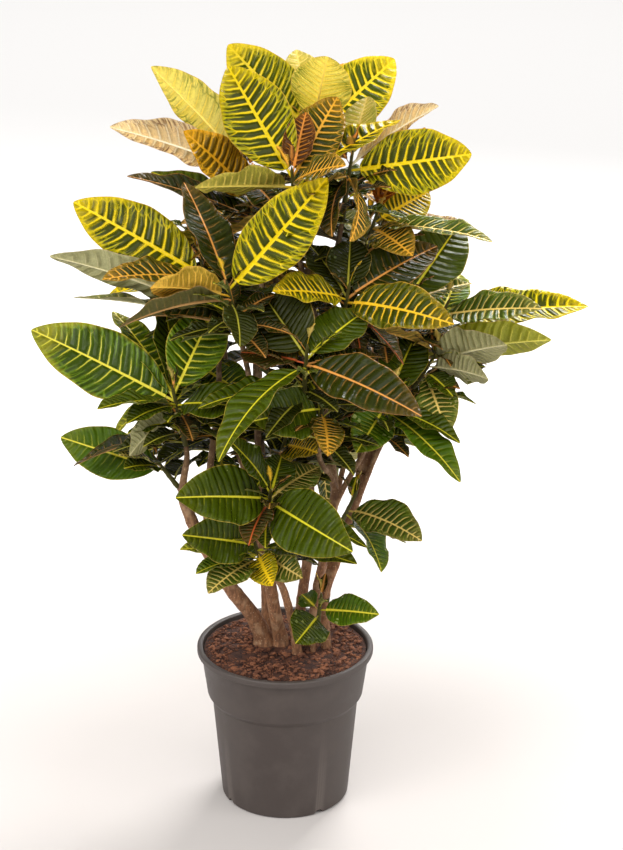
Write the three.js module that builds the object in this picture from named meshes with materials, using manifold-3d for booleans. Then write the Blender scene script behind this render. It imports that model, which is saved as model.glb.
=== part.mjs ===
// Branched croton (Codiaeum) in a round nursery pot.
// Millimetres, +Z up, origin at the middle of the pot's flat underside, photographed side towards -Y.
import * as THREE from 'three';
import { mergeVertices } from 'three/addons/utils/BufferGeometryUtils.js';
import Module from 'manifold-3d';

const wasm = await Module();
wasm.setup();

// Driving sizes of the pot and the soil
const POT_HEIGHT = 222;
const RIM_RADIUS = 120;
const BASE_RADIUS = 87.5;
const WALL = 2.2;
const LIP_DROP = 9;
const LIP_OVERHANG = 5.5;
const COLLAR_BOTTOM = 154;
const STEP_BOTTOM = 146;
const STEP_RADIUS = RIM_RADIUS - 20;
const STEP_DEPTH = 6.5;
const FOOT_BEVEL = 2.5;
const LIP_BEVEL = 1.5;
const POT_SIDES = 28;
const SOIL_SIDES = 24;
const DRAIN_HOLES = 6;
const DRAIN_RADIUS = 6;
const DRAIN_CIRCLE = 58;
const NOTCHES = 4;
const NOTCH_RADIUS = 7;
const NOTCH_LENGTH = 16;
const NOTCH_TURN = 0.35;
const SOIL_TOP = 216;
const SOIL_LUMP = 3;
const SEAT_GAP = 0.35;

// Driving sizes of the stems and leaves
const STEM_FOOT = 150;
const STEM_SIDES = 7;
const BRANCH_SIDES = 5;
const BRANCH_STEPS = 4;
const BRANCH_PULL = 0.35;
const SHOOT_SIDES = 4;
const SHOOT_ABOVE = 40;
const ROOT_SPREAD = 35;
const SHOOT_RADIUS = 3.6;
const PETIOLE = 12;
const PETIOLE_WIDTH = 3.2;
const BLADE = 0.7;
const FOLD = 14;
const WAVE = 3;
const WAVES = 2.3;
const LARGE_LEAF = 130;
const SMALL_LEAF = 70;
const CLEARANCE = 1.1;

// Share of each blade, from its base, that may touch the others of its own crowded whorl
const CROWDED = 0.3;

// Spiral rule of the leaves that a shoot adds: golden angle, most turns, least angle between leaves,
// elevation of the lowest and its gain to the top, place along the shoot and its gain to the top
const SPIRAL = 137.5;
const SPIRAL_TURNS = 20;
const LEAST_APART = 32;
const LOWEST_LEAF = -24;
const LEAF_RISE = 62;
const LOWEST_ROOT = -0.8;
const ROOT_RISE = 1.1;

// Shoots whose y is at most FRONT_SHOOT add no leaf that points further forward than this share of
// its direction, so that the added leaves stay behind those placed one by one
const FRONT_SHOOT = 60;
const FORWARD_MOST = -0.25;

// What that rule draws for each leaf: share of the typical length low and high up and its spread,
// width for length, and the degrees of its scatter in elevation, roll and droop. SHOOT_TURN turns the
// spiral from shoot to shoot, and each shoot has its own run of seeds.
const LENGTH_LOW = 1.08;
const LENGTH_HIGH = 0.78;
const LENGTH_SPREAD = [0.9, 1.1];
const WIDTH_SHARE = [0.4, 0.5];
const SCATTER = [-7, 7];
const ROLL = [-20, 20];
const DROOP = [18, 40];
const SHOOT_TURN = 77;
const SHOOT_SEEDS = 50;
const SPIRAL_SEEDS = 25;
const TURN_SEEDS = 3;

// Woody stems: foot on the soil, radius at the foot and top, and the route of the trunk above the foot
const STEMS = {
  stem_left: {
    foot: [-30, 12], radii: [13.5, 8],
    route: [[-44, 0, 263], [-74, -18, 314], [-100, -34, 368], [-120, -43, 414], [-130, -48, 445]],
  },
  stem_middle: {
    foot: [-7, 10], radii: [10.5, 6.5],
    route: [
      [-14, -8, 272], [-20, -22, 320], [-28, -28, 370], [-30, -8, 440], [-34, 8, 520], [-36, 14, 600],
    ],
  },
  stem_front: {
    foot: [16, -22], radii: [7, 5],
    route: [[6, -36, 286], [-5, -46, 329], [-16, -56, 348]],
  },
  stem_right: {
    foot: [38, 18], radii: [7.5, 6],
    route: [
      [41, 20, 275], [50, 16, 330], [60, 12, 390], [66, 12, 440], [58, 14, 495], [50, 18, 560], [44, 22, 640],
    ],
  },
  stem_far_right: {
    foot: [56, 2], radii: [6, 6],
    route: [[56, 30, 280], [74, 44, 335], [92, 54, 400], [110, 58, 470], [120, 58, 540]],
  },
  stem_back: {
    foot: [18, 36], radii: [8, 7],
    route: [[24, 48, 275], [32, 62, 330], [34, 78, 400], [30, 88, 480], [24, 96, 560]],
  },
  stem_back_left: {
    foot: [-24, 44], radii: [9, 7],
    route: [[-26, 50, 280], [-30, 60, 340], [-44, 76, 410], [-64, 84, 480]],
  },
  stem_sucker: {
    foot: [38, -12], radii: [3.6, 3],
    route: [[39, -16, 240]],
  },
};

// Leafy shoots: the stem each grows on, how far up that trunk it branches off (1 is the top), where
// its whorl is, how it leans (azimuth and degrees from upright), how far it reaches below the whorl,
// how many more leaves the spiral rule adds to it, from which turn, and their typical length. Its own
// leaves are [azimuth, elevation, length, width, roll, droop], with the place along the shoot where
// one stands apart from the whorl.
const SHOOTS = {
  top_front: {
    stem: 'stem_right', fork: 1.0, at: [10, -40, 855], lean: [262, 22], below: 60,
    more: 3, first: 0, size: 120,
    leaves: [
      [124, 39, 175, 88, 40, 12], [58, 38, 125, 65, -35, 15], [-143, 7, 135, 64, -40, 6],
      [28, 18, 155, 66, -5, 15], [-57, 20, 110, 50, -40, 20], [82, 46, 75, 42, 5, 15],
    ],
  },
  top_back: {
    stem: 'stem_back', fork: 1.0, at: [35, 85, 885], lean: [90, 6], below: 60,
    more: 4, first: 0, size: 125,
    leaves: [
      [139, 34, 165, 82, 55, 12], [-79, 50, 125, 80, 20, 12], [100, 37, 135, 70, 15, 10],
      [113, 35, 115, 50, 10, 12], [38, 31, 150, 82, -60, 15], [63, 35, 135, 55, 5, 12],
    ],
  },
  top_left: {
    stem: 'stem_middle', fork: 1.0, at: [-45, 40, 850], lean: [150, 12], below: 60,
    more: 3, first: 0, size: 130,
    leaves: [
      [144, 36, 180, 78, -85, 10], [161, 14, 185, 76, -55, 14], [-149, 44, 125, 66, 70, 14, -18],
      [-163, 22, 170, 60, 15, 16, -48], [120, 25, 95, 45, -35, 12], [169, 23, 140, 60, 15, 16, -50],
      [-61, -12, 100, 55, -15, 25],
    ],
  },
  top_right: {
    stem: 'stem_right', fork: 0.95, at: [80, 10, 865], lean: [300, 14], below: 60,
    more: 2, first: 0, size: 125,
    leaves: [
      [25, 2, 165, 86, -75, 15], [36, 25, 155, 66, 55, 15], [75, 36, 100, 60, 20, 12],
      [-91, -23, 125, 50, 70, 40], [-101, -22, 120, 50, -40, 40], [-110, -15, 100, 50, -10, 30],
    ],
  },
  upper_right: {
    stem: 'stem_far_right', fork: 0.85, at: [110, 40, 785], lean: [20, 18], below: 60,
    more: 4, first: 0, size: 130,
    leaves: [
      [50, 44, 130, 60, 10, 15], [37, 17, 85, 65, -45, 15], [-32, 1, 160, 60, -5, 22],
      [20, 3, 145, 62, -10, 18], [-56, -2, 90, 56, -25, 22], [67, 3, 80, 50, -50, 15],
    ],
  },
  right_high: {
    stem: 'stem_far_right', fork: 0.7, at: [150, 25, 685], lean: [350, 25], below: 60,
    more: 3, first: 0, size: 125,
    leaves: [
      [53, 32, 135, 80, -40, 15], [25, 9, 90, 45, -10, 18],
    ],
  },
  mid_left: {
    stem: 'stem_middle', fork: 0.75, at: [-65, -115, 735], lean: [250, 28], below: 60,
    more: 4, first: 0, size: 140,
    leaves: [
      [33, 37, 170, 80, -60, 12], [117, 40, 155, 62, -10, 15], [-144, 14, 105, 62, -55, 20],
      [-146, 1, 145, 60, -40, 25], [-82, -21, 75, 50, 25, 30],
    ],
  },
  outer_left: {
    stem: 'stem_left', fork: 0.62, at: [-100, -10, 725], lean: [180, 10], below: 60,
    more: 3, first: 0, size: 150,
    leaves: [
      [154, 22, 195, 85, 55, 15], [176, 20, 205, 70, -55, 18, -30], [169, 11, 175, 50, -10, 18, -42],
      [-145, 9, 140, 62, 15, 22],
    ],
  },
  left: {
    stem: 'stem_left', fork: 1.0, at: [-135, -85, 585], lean: [230, 15], below: 50,
    more: 3, first: 0, size: 130,
    leaves: [
      [62, 46, 135, 76, -30, 12], [157, 19, 205, 90, 50, 15], [122, 29, 170, 68, -15, 15],
      [99, 34, 145, 60, -30, 15], [-137, 10, 115, 50, 0, 25], [-34, 7, 110, 70, -25, 25],
      [-67, -23, 45, 36, 10, 35], [-37, -5, 100, 50, -10, 30], [-129, 1, 80, 45, 5, 30],
      [-129, -20, 85, 50, -85, 30],
    ],
  },
  low_left: {
    stem: 'stem_left', fork: 0.86, at: [-150, -50, 485], lean: [200, 35], below: 20,
    more: 1, first: 6, size: 100,
    leaves: [
      [155, 8, 145, 68, 65, 15], [-126, 26, 80, 45, 15, 25], [-125, 17, 70, 40, 20, 25],
    ],
  },
  centre: {
    stem: 'stem_right', fork: 0.74, at: [25, -150, 665], lean: [275, 28], below: 60,
    more: 2, first: 0, size: 120,
    leaves: [
      [117, 23, 110, 88, 35, 18], [87, 17, 80, 50, -5, 15], [47, 14, 105, 65, -20, 18],
      [27, -4, 95, 50, -5, 15], [-44, -7, 175, 70, -35, 25], [-128, -24, 175, 65, -10, 45],
      [146, -2, 85, 60, 25, 15],
    ],
  },
  centre_high: {
    stem: 'stem_right', fork: 0.86, at: [75, -60, 715], lean: [290, 22], below: 60,
    more: 2, first: 0, size: 120,
    leaves: [
      [86, 31, 85, 60, 0, 12], [-148, 13, 100, 65, 25, 20], [-38, 0, 150, 70, -40, 25],
      [121, 21, 105, 55, 5, 15], [38, 16, 145, 70, -30, 18], [-36, -29, 95, 45, 15, 25],
      [-62, -35, 55, 36, 20, 35],
    ],
  },
  centre_low: {
    stem: 'stem_right', fork: 0.62, at: [45, -120, 595], lean: [275, 28], below: 60,
    more: 1, first: 0, size: 100,
    leaves: [
      [-143, 3, 95, 75, 55, 25], [-38, 9, 95, 60, -10, 25], [108, 12, 80, 50, 30, 20],
      [-85, -21, 70, 45, 15, 35],
    ],
  },
  inner: {
    stem: 'stem_middle', fork: 0.5, at: [-5, -45, 515], lean: [300, 25], below: 40,
    more: 2, first: 0, size: 95,
    leaves: [
      [-45, 11, 70, 50, -40, 25],
    ],
  },
  front_low: {
    stem: 'stem_middle', fork: 0.36, at: [-20, -120, 475], lean: [275, 42], below: 45,
    more: 2, first: 0, size: 110,
    leaves: [
      [78, 28, 65, 50, -15, 20], [43, 15, 85, 55, -20, 20], [-146, 13, 130, 80, 55, 22],
      [-152, 54, 90, 50, 45, 25], [-109, -20, 70, 45, -10, 35], [-49, -7, 145, 84, -55, 25],
    ],
  },
  front_base: {
    stem: 'stem_front', fork: 1.0, at: [-35, -70, 385], lean: [235, 25], below: 18,
    more: 2, first: 0, size: 95,
    leaves: [
      [-140, 21, 115, 65, 70, 22], [-149, 16, 110, 50, 10, 25, -4], [-143, 2, 90, 50, 0, 28, -8],
      [-131, -9, 90, 60, 40, 30, -10], [-72, -18, 55, 45, -20, 35], [-43, -10, 70, 50, -20, 30],
      [-32, 0, 140, 65, -5, 25],
    ],
  },
  sucker: {
    stem: 'stem_sucker', fork: 1.0, at: [45, -20, 270], lean: [300, 10], below: 16,
    more: 0, first: 0, size: 45,
    leaves: [
      [-35, 11, 85, 46, -50, 20], [-117, -10, 60, 60, 35, 30], [108, 7, 35, 32, 30, 15],
    ],
  },
  right: {
    stem: 'stem_far_right', fork: 0.5, at: [180, 0, 610], lean: [340, 30], below: 45,
    more: 3, first: 3, size: 100,
    leaves: [
      [-41, 22, 115, 74, 50, 15], [-42, 7, 85, 60, 60, 20], [-55, -17, 50, 40, -10, 30],
      [-68, -37, 85, 58, -15, 35],
    ],
  },
  far_right: {
    stem: 'stem_far_right', fork: 0.6, at: [200, 50, 660], lean: [10, 25], below: 60,
    more: 3, first: 7, size: 130,
    leaves: [
      [-36, 13, 140, 56, -35, 16], [13, 1, 195, 72, -25, 12], [-14, 11, 160, 76, 60, 12, -45],
    ],
  },
  right_inner: {
    stem: 'stem_right', fork: 0.55, at: [125, -50, 575], lean: [320, 25], below: 60,
    more: 2, first: 0, size: 110,
    leaves: [
      [-51, -21, 145, 54, 0, 30], [-35, -12, 105, 50, 0, 30], [67, 29, 110, 65, -15, 18],
      [-117, -22, 75, 60, 30, 40],
    ],
  },
  low_right: {
    stem: 'stem_right', fork: 0.38, at: [80, -30, 425], lean: [330, 25], below: 30,
    more: 2, first: 0, size: 85,
    leaves: [
      [-39, -6, 110, 68, -20, 35], [-59, -32, 90, 60, 30, 40],
    ],
  },
  back_high: {
    stem: 'stem_back', fork: 0.8, at: [-25, 150, 800], lean: [110, 18], below: 65,
    more: 7, first: 0, size: 130, leaves: [],
  },
  back_right_high: {
    stem: 'stem_far_right', fork: 0.9, at: [105, 140, 745], lean: [50, 20], below: 65,
    more: 7, first: 0, size: 130, leaves: [],
  },
  back_left_high: {
    stem: 'stem_back_left', fork: 1.0, at: [-110, 110, 740], lean: [140, 20], below: 65,
    more: 7, first: 0, size: 130, leaves: [],
  },
  back_middle: {
    stem: 'stem_back', fork: 0.6, at: [20, 165, 650], lean: [90, 25], below: 65,
    more: 7, first: 0, size: 135, leaves: [],
  },
  back_right: {
    stem: 'stem_far_right', fork: 0.4, at: [140, 130, 610], lean: [40, 30], below: 65,
    more: 6, first: 0, size: 130, leaves: [],
  },
  back_left: {
    stem: 'stem_back_left', fork: 0.8, at: [-130, 90, 620], lean: [150, 28], below: 65,
    more: 6, first: 0, size: 125, leaves: [],
  },
  back_low: {
    stem: 'stem_back', fork: 0.4, at: [40, 125, 500], lean: [80, 28], below: 65,
    more: 5, first: 0, size: 120, leaves: [[-65, -52, 125, 66, 35, 8]],
  },
  back_left_low: {
    stem: 'stem_back_left', fork: 0.5, at: [-100, 125, 505], lean: [120, 30], below: 65,
    more: 6, first: 0, size: 115, leaves: [],
  },
};

// Small turns that a leaf may take to pass its neighbours: azimuth, elevation and roll in degrees
const TURNS = [
  [0, 0, 0], [0, 5, 0], [0, -5, 0], [6, 0, 0], [-6, 0, 0], [0, 0, 16], [0, 0, -16],
  [6, 6, 0], [-6, 6, 0], [6, -6, 0], [-6, -6, 0], [0, 11, 0], [0, -11, 0], [12, 0, 0], [-12, 0, 0],
  [0, 0, 32], [0, 0, -32], [12, 8, 12], [-12, 8, -12], [12, -8, 12], [-12, -8, -12],
  [0, 18, 0], [0, -18, 0], [20, 0, 0], [-20, 0, 0],
];

const up = new THREE.Vector3(0, 0, 1);
const radians = THREE.MathUtils.degToRad;

// Unit vector from an azimuth and an elevation in degrees
function direction(azimuth, elevation) {
  const [a, e] = [radians(azimuth), radians(elevation)];
  return new THREE.Vector3(Math.cos(e) * Math.cos(a), Math.cos(e) * Math.sin(a), Math.sin(e));
}

// Repeatable draw between 0 and 1 for a whole-number seed
function draw(seed) {
  const value = Math.sin(seed * 12.9898) * 43758.5453;
  return value - Math.floor(value);
}

// Value drawn evenly from a range
function drawFrom([low, high], seed) {
  return low + (high - low) * draw(seed);
}

// Closed geometry from points and triangles, with coincident points joined and empty triangles left out
function closedGeometry(points, triangles) {
  const geometry = new THREE.BufferGeometry().setFromPoints(points);
  geometry.setIndex(triangles.flat());
  const merged = mergeVertices(geometry);
  const index = merged.getIndex().array;
  const kept = [];
  for (let i = 0; i < index.length; i += 3) {
    const [a, b, c] = index.subarray(i, i + 3);
    if (a !== b && b !== c && c !== a) kept.push(a, b, c);
  }
  merged.setIndex(kept);
  return merged;
}

function asSolid(source) {
  const geometry = source.clone();
  geometry.deleteAttribute('normal');
  geometry.deleteAttribute('uv');
  const merged = mergeVertices(geometry);
  return new wasm.Manifold(new wasm.Mesh({
    numProp: 3,
    vertProperties: new Float32Array(merged.getAttribute('position').array),
    triVerts: new Uint32Array(merged.getIndex().array),
  }));
}

function asGeometry(solid) {
  const mesh = solid.getMesh();
  const geometry = new THREE.BufferGeometry();
  geometry.setAttribute('position', new THREE.BufferAttribute(mesh.vertProperties, 3));
  geometry.setIndex(new THREE.BufferAttribute(mesh.triVerts, 1));
  geometry.computeVertexNormals();
  return geometry;
}

// Round tapered rod along a curve, closed by a flat fan at each end
function rod(curve, radiusAt, sides, steps) {
  const frames = curve.computeFrenetFrames(steps, false);
  const points = [];
  const triangles = [];
  for (let i = 0; i <= steps; i += 1) {
    const centre = curve.getPoint(i / steps);
    const radius = radiusAt(i / steps);
    for (let k = 0; k < sides; k += 1) {
      const angle = (2 * Math.PI * k) / sides;
      points.push(centre.clone()
        .addScaledVector(frames.normals[i], radius * Math.cos(angle))
        .addScaledVector(frames.binormals[i], radius * Math.sin(angle)));
      if (i === steps) continue;
      const [a, b] = [i * sides + k, i * sides + ((k + 1) % sides)];
      triangles.push([a, b, b + sides], [a, b + sides, a + sides]);
    }
  }
  const last = steps * sides;
  for (let k = 1; k < sides - 1; k += 1) {
    triangles.push([0, k + 1, k], [last, last + k, last + k + 1]);
  }
  return closedGeometry(points, triangles);
}

// Half-width of a blade from its base (0) to its tip (1): broad base, long taper to the tip
const outline = (v) => Math.max(Math.sin(Math.PI * v ** 0.85), 0) ** 0.75;

// Places along a blade where its outline is given, from the root of its petiole to its tip
function bladeStations(length) {
  const root = -PETIOLE / length;
  if (length > LARGE_LEAF) return [root, 0, 0.24, 0.52, 0.8, 1];
  if (length > SMALL_LEAF) return [root, 0, 0.36, 0.74, 1];
  return [root, 0.35, 0.72, 1];
}

// One leaf: the midrib is an arc of `droop` degrees over the chord from its root, the two halves of
// the blade rise from it by the fold, and their margins wave. The petiole is a keeled strip. `room`
// makes the leaf fatter all round, and `bladeOnly` leaves out the petiole.
function leafGeometry(leaf, room = 0, bladeOnly = false) {
  const total = PETIOLE + leaf.length;
  const bend = radians(leaf.droop);
  const radius = total / bend;
  const chord = direction(leaf.azimuth, leaf.elevation);
  const face = direction(leaf.azimuth, leaf.elevation + 90).applyAxisAngle(chord, -radians(leaf.roll));
  const side = face.clone().cross(chord);
  const fold = radians(FOLD);
  const at = (along, across, lift, angle) => {
    const ahead = radius * (Math.sin(bend / 2) - Math.sin(angle)) - lift * Math.sin(angle) + along;
    const high = radius * (Math.cos(angle) - Math.cos(bend / 2)) + lift * Math.cos(angle);
    return leaf.root.clone()
      .addScaledVector(chord, ahead).addScaledVector(side, across).addScaledVector(face, high);
  };
  const stations = bladeStations(leaf.length);
  if (bladeOnly) stations.splice(0, stations.findIndex((v) => v > CROWDED), CROWDED);
  const points = [];
  for (const v of stations) {
    const angle = bend * (0.5 - (PETIOLE + v * leaf.length) / total);
    const stalk = v <= 0;
    const tip = v === 1;
    const half = stalk ? PETIOLE_WIDTH / 2 : (leaf.width / 2) * outline(Math.min(v, 1));
    const reach = tip ? 0 : half + room;
    const thick = (stalk ? PETIOLE_WIDTH * 0.8 : BLADE / 2) + room;
    if (stalk) {
      const [left, right] = [at(0, reach, 0, angle), at(0, -reach, 0, angle)];
      const keel = at(0, 0, -thick, angle);
      points.push(left, left, right, left, keel, right);
      continue;
    }
    for (const level of [thick, -thick]) {
      for (const u of [1, 0, -1]) {
        const wave = WAVE * Math.abs(u) * outline(Math.min(v, 1))
          * Math.sin(2 * Math.PI * (WAVES * v + leaf.phase) + u);
        const lift = Math.abs(u) * half * Math.sin(fold) + (tip ? 0 : wave);
        points.push(at(tip ? room : 0, u * reach * Math.cos(fold), level + lift, angle));
      }
    }
  }
  const triangles = [];
  for (let i = 0; i < stations.length - 1; i += 1) {
    const [a, b] = [6 * i, 6 * i + 6];
    triangles.push(
      [a + 1, b + 1, b], [a + 1, b, a], [a + 1, b + 2, b + 1], [a + 1, a + 2, b + 2],
      [a + 4, b + 3, b + 4], [a + 4, a + 3, b + 3], [a + 4, b + 4, b + 5], [a + 4, b + 5, a + 5],
      [a, b, b + 3], [a, b + 3, a + 3], [a + 2, b + 5, b + 2], [a + 2, a + 5, b + 5],
    );
  }
  triangles.push([1, 0, 3], [1, 3, 4], [1, 4, 5], [1, 5, 2]);
  return closedGeometry(points, triangles);
}

// Row of the k-th leaf that a shoot may add, by the golden angle and lowest first
function spiralRow(shoot, number, k) {
  const seed = SHOOT_SEEDS * number + TURN_SEEDS * k;
  const height = k / SPIRAL_TURNS;
  const share = LENGTH_LOW + (LENGTH_HIGH - LENGTH_LOW) * height;
  const length = shoot.size * share * drawFrom(LENGTH_SPREAD, seed + 1);
  return [
    SPIRAL * k + SHOOT_TURN * number, LOWEST_LEAF + LEAF_RISE * height + drawFrom(SCATTER, seed),
    length, length * drawFrom(WIDTH_SHARE, seed + 2), drawFrom(ROLL, seed + 3), drawFrom(DROOP, seed + 4),
    shoot.below * (LOWEST_ROOT + ROOT_RISE * height),
  ];
}

// Root, angles and size of a leaf from its row: where the row doesn't end with its place along the
// shoot, it stands higher on the whorl the more it rises
function leafFrom(shoot, row, seed, turn) {
  const [azimuth, elevation, length, width, roll, droop] = row;
  const rise = THREE.MathUtils.clamp((elevation + 20) / 90, 0, 1);
  const height = row.length > 6 ? row[6] : rise * ROOT_SPREAD;
  return {
    root: new THREE.Vector3(...shoot.at).addScaledVector(leanOf(shoot), height),
    azimuth: azimuth + turn[0], elevation: elevation + turn[1], roll: roll + turn[2],
    length, width, droop, phase: draw(seed),
  };
}

const leanOf = (shoot) => direction(shoot.lean[0], 90 - shoot.lean[1]);

function boxesMeet(a, b) {
  return [0, 1, 2].every((i) => a.min[i] <= b.max[i] && b.min[i] <= a.max[i]);
}

function meets(a, b) {
  return boxesMeet(a.boundingBox(), b.boundingBox()) && !a.intersect(b).isEmpty();
}

function union(solids) {
  return wasm.Manifold.union(solids);
}

// Trunk of a stem as a curve from its foot in the soil
function trunkCurve(stem) {
  const [x, y] = stem.foot;
  const points = [[x, y, STEM_FOOT], [x, y, SOIL_TOP - 15], [x, y, SOIL_TOP + 8], ...stem.route];
  return new THREE.CatmullRomCurve3(points.map((p) => new THREE.Vector3(...p)), false, 'centripetal');
}

// Branch from a place along the trunk to just under its shoot
function branchCurve(trunk, shoot) {
  const start = trunk.getPoint(shoot.fork);
  const end = new THREE.Vector3(...shoot.at).addScaledVector(leanOf(shoot), -shoot.below - SEAT_GAP);
  const pull = BRANCH_PULL * start.distanceTo(end);
  const leave = start.clone().addScaledVector(trunk.getTangent(shoot.fork), pull);
  const arrive = end.clone().addScaledVector(leanOf(shoot), -pull);
  return new THREE.CubicBezierCurve3(start, leave, arrive, end);
}

function stemSolid(name, spare = 0) {
  const stem = STEMS[name];
  const trunk = trunkCurve(stem);
  const [foot, top] = stem.radii;
  const steps = 3 + stem.route.length;
  const pieces = [rod(trunk, (t) => foot + (top - foot) * t + spare, STEM_SIDES, steps)];
  for (const shoot of Object.values(SHOOTS).filter((s) => s.stem === name && !spare)) {
    const thick = Math.min(top, foot) * 0.75;
    const taper = (t) => thick + (SHOOT_RADIUS - thick) * t;
    pieces.push(rod(branchCurve(trunk, shoot), taper, BRANCH_SIDES, BRANCH_STEPS));
  }
  return union(pieces.map(asSolid));
}

function shootAxis(shoot) {
  const lean = leanOf(shoot);
  const from = new THREE.Vector3(...shoot.at).addScaledVector(lean, -shoot.below);
  const to = new THREE.Vector3(...shoot.at).addScaledVector(lean, SHOOT_ABOVE);
  return rod(new THREE.LineCurve3(from, to), (t) => SHOOT_RADIUS * (1 - 0.5 * t), SHOOT_SIDES, 1);
}

// Shell of the pot: tapered wall, step, collar and lip, with drain holes and notches in its foot
function potSolid() {
  const collarTop = POT_HEIGHT - LIP_DROP;
  const collarRadius = RIM_RADIUS - LIP_OVERHANG;
  const profile = [
    [0, 0], [BASE_RADIUS - FOOT_BEVEL, 0], [BASE_RADIUS, FOOT_BEVEL], [STEP_RADIUS, STEP_BOTTOM],
    [STEP_RADIUS + STEP_DEPTH, COLLAR_BOTTOM], [collarRadius, collarTop],
    [RIM_RADIUS - LIP_BEVEL / 3, collarTop], [RIM_RADIUS, collarTop + LIP_BEVEL],
    [RIM_RADIUS, POT_HEIGHT - LIP_BEVEL], [RIM_RADIUS - LIP_BEVEL, POT_HEIGHT],
    [collarRadius, POT_HEIGHT], ...innerWall().reverse(), [0, 2 * WALL],
  ];
  let pot = asSolid(turned(profile, POT_SIDES));
  for (let i = 0; i < DRAIN_HOLES; i += 1) {
    const angle = (2 * Math.PI * i) / DRAIN_HOLES;
    const hole = new THREE.CylinderGeometry(DRAIN_RADIUS, DRAIN_RADIUS, 20, 6).rotateX(Math.PI / 2);
    hole.translate(DRAIN_CIRCLE * Math.cos(angle), DRAIN_CIRCLE * Math.sin(angle), 0);
    pot = pot.subtract(asSolid(hole));
  }
  for (let i = 0; i < NOTCHES; i += 1) {
    const notch = new THREE.CylinderGeometry(NOTCH_RADIUS, NOTCH_RADIUS, NOTCH_LENGTH, 8);
    notch.translate(0, BASE_RADIUS, 0).rotateZ((2 * Math.PI * (i + NOTCH_TURN)) / NOTCHES);
    pot = pot.subtract(asSolid(notch));
  }
  return pot;
}

// Inside of the pot from the floor up
function innerWall() {
  const stepRadius = STEP_RADIUS - WALL;
  return [
    [BASE_RADIUS - WALL - 0.5, 2 * WALL], [stepRadius, STEP_BOTTOM + 1],
    [stepRadius + STEP_DEPTH, COLLAR_BOTTOM + 1], [RIM_RADIUS - LIP_OVERHANG - WALL, POT_HEIGHT - 1],
  ];
}

function innerRadius(height) {
  const wall = innerWall();
  const i = wall.findIndex(([, z], k) => k > 0 && z >= height);
  const [[r0, z0], [r1, z1]] = [wall[i - 1], wall[i]];
  return r0 + ((r1 - r0) * (height - z0)) / (z1 - z0);
}

// Body of revolution round the Z axis from [radius, height] points
function turned(profile, sides) {
  const points = profile.map(([r, z]) => new THREE.Vector2(r, z));
  return new THREE.LatheGeometry(points, sides).rotateX(Math.PI / 2);
}

// Height of the soil's crumbs over its level, from a few crossing waves
function lump(x, y) {
  return SOIL_LUMP * (0.5 * Math.sin(x * 0.11 + 1.3 * Math.sin(y * 0.07))
    + 0.35 * Math.sin(y * 0.16 + x * 0.05) + 0.3 * Math.sin(x * 0.29 - y * 0.23));
}

// Soil that fills the pot with a lumpy top and a plain hole for each stem
function soilSolid(stems) {
  const edge = innerRadius(SOIL_TOP) - 2 * SEAT_GAP;
  const rings = [1, 0.75, 0.4];
  const wall = innerWall().slice(0, 3).map(([r, z], i) => [r - 2 * SEAT_GAP, z + (i === 0 ? SEAT_GAP : 0)]);
  const top = rings.map((part) => [edge * part, SOIL_TOP]);
  const profile = [[0, wall[0][1]], ...wall, ...top, [0, SOIL_TOP]];
  const geometry = turned(profile, SOIL_SIDES);
  const position = geometry.getAttribute('position');
  for (let i = 0; i < position.count; i += 1) {
    const [x, y, z] = [position.getX(i), position.getY(i), position.getZ(i)];
    const inside = 1 - (Math.hypot(x, y) / edge) ** 8;
    if (z > SOIL_TOP - 1) position.setZ(i, z + Math.max(inside, 0) * lump(x, y));
  }
  return stems.reduce((soil, stem) => soil.subtract(stem), asSolid(geometry));
}

const croton = new THREE.Group();

function addMesh(name, solid, color, roughness) {
  const material = new THREE.MeshStandardMaterial({ color, roughness, metalness: 0 });
  const mesh = new THREE.Mesh(asGeometry(solid), material);
  mesh.name = name;
  croton.add(mesh);
}

const stems = Object.keys(STEMS).map((name) => [name, stemSolid(name)]);
const shootNames = Object.keys(SHOOTS);
const leaves = new Map(shootNames.map((name) => [name, []]));
const axes = new Map(shootNames.map((name) => [name, asSolid(shootAxis(SHOOTS[name]))]));

// Sets a leaf in the first turn that passes every leaf and stem placed before it, if there is one
function place(name, row, seed) {
  for (const turn of TURNS) {
    const leaf = leafFrom(SHOOTS[name], row, seed, turn);
    const around = asSolid(leafGeometry(leaf, CLEARANCE));
    const blade = asSolid(leafGeometry(leaf, CLEARANCE, true));
    const clear = stems.every(([, stem]) => !meets(around, stem))
      && shootNames.every((other) => (other === name || !meets(around, axes.get(other)))
        && leaves.get(other).every((placed) => (
          other === name ? !meets(blade, placed.blade) : !meets(around, placed.whole))));
    if (!clear) continue;
    const whole = asSolid(leafGeometry(leaf));
    leaves.get(name).push({ whole, blade: asSolid(leafGeometry(leaf, 0, true)) });
    return true;
  }
  return false;
}

shootNames.forEach((name, number) => {
  SHOOTS[name].leaves.forEach((row, k) => place(name, row, SHOOT_SEEDS * number + k));
});
shootNames.forEach((name, number) => {
  const shoot = SHOOTS[name];
  const taken = shoot.leaves.map(([azimuth, elevation]) => direction(azimuth, elevation));
  const full = taken.length + shoot.more;
  for (let k = shoot.first; k < SPIRAL_TURNS && taken.length < full; k += 1) {
    const row = spiralRow(shoot, number, k);
    const way = direction(row[0], row[1]);
    const free = taken.every((other) => other.dot(way) < Math.cos(radians(LEAST_APART)))
      && (shoot.at[1] > FRONT_SHOOT || way.y > FORWARD_MOST);
    if (free && place(name, row, SHOOT_SEEDS * number + SPIRAL_SEEDS + k)) taken.push(way);
  }
});

addMesh('pot', potSolid(), 0x5b504c, 0.55);
addMesh('soil', soilSolid(Object.keys(STEMS).map((name) => stemSolid(name, 2 * SEAT_GAP))), 0x5a3628, 1);
for (const [name, solid] of stems) addMesh(name, solid, 0x86684f, 0.9);
for (const name of shootNames) {
  const whole = union([axes.get(name), ...leaves.get(name).map((leaf) => leaf.whole)]);
  addMesh(`shoot_${name}`, whole, 0x3c5a1a, 0.4);
}

export default croton;
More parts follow.
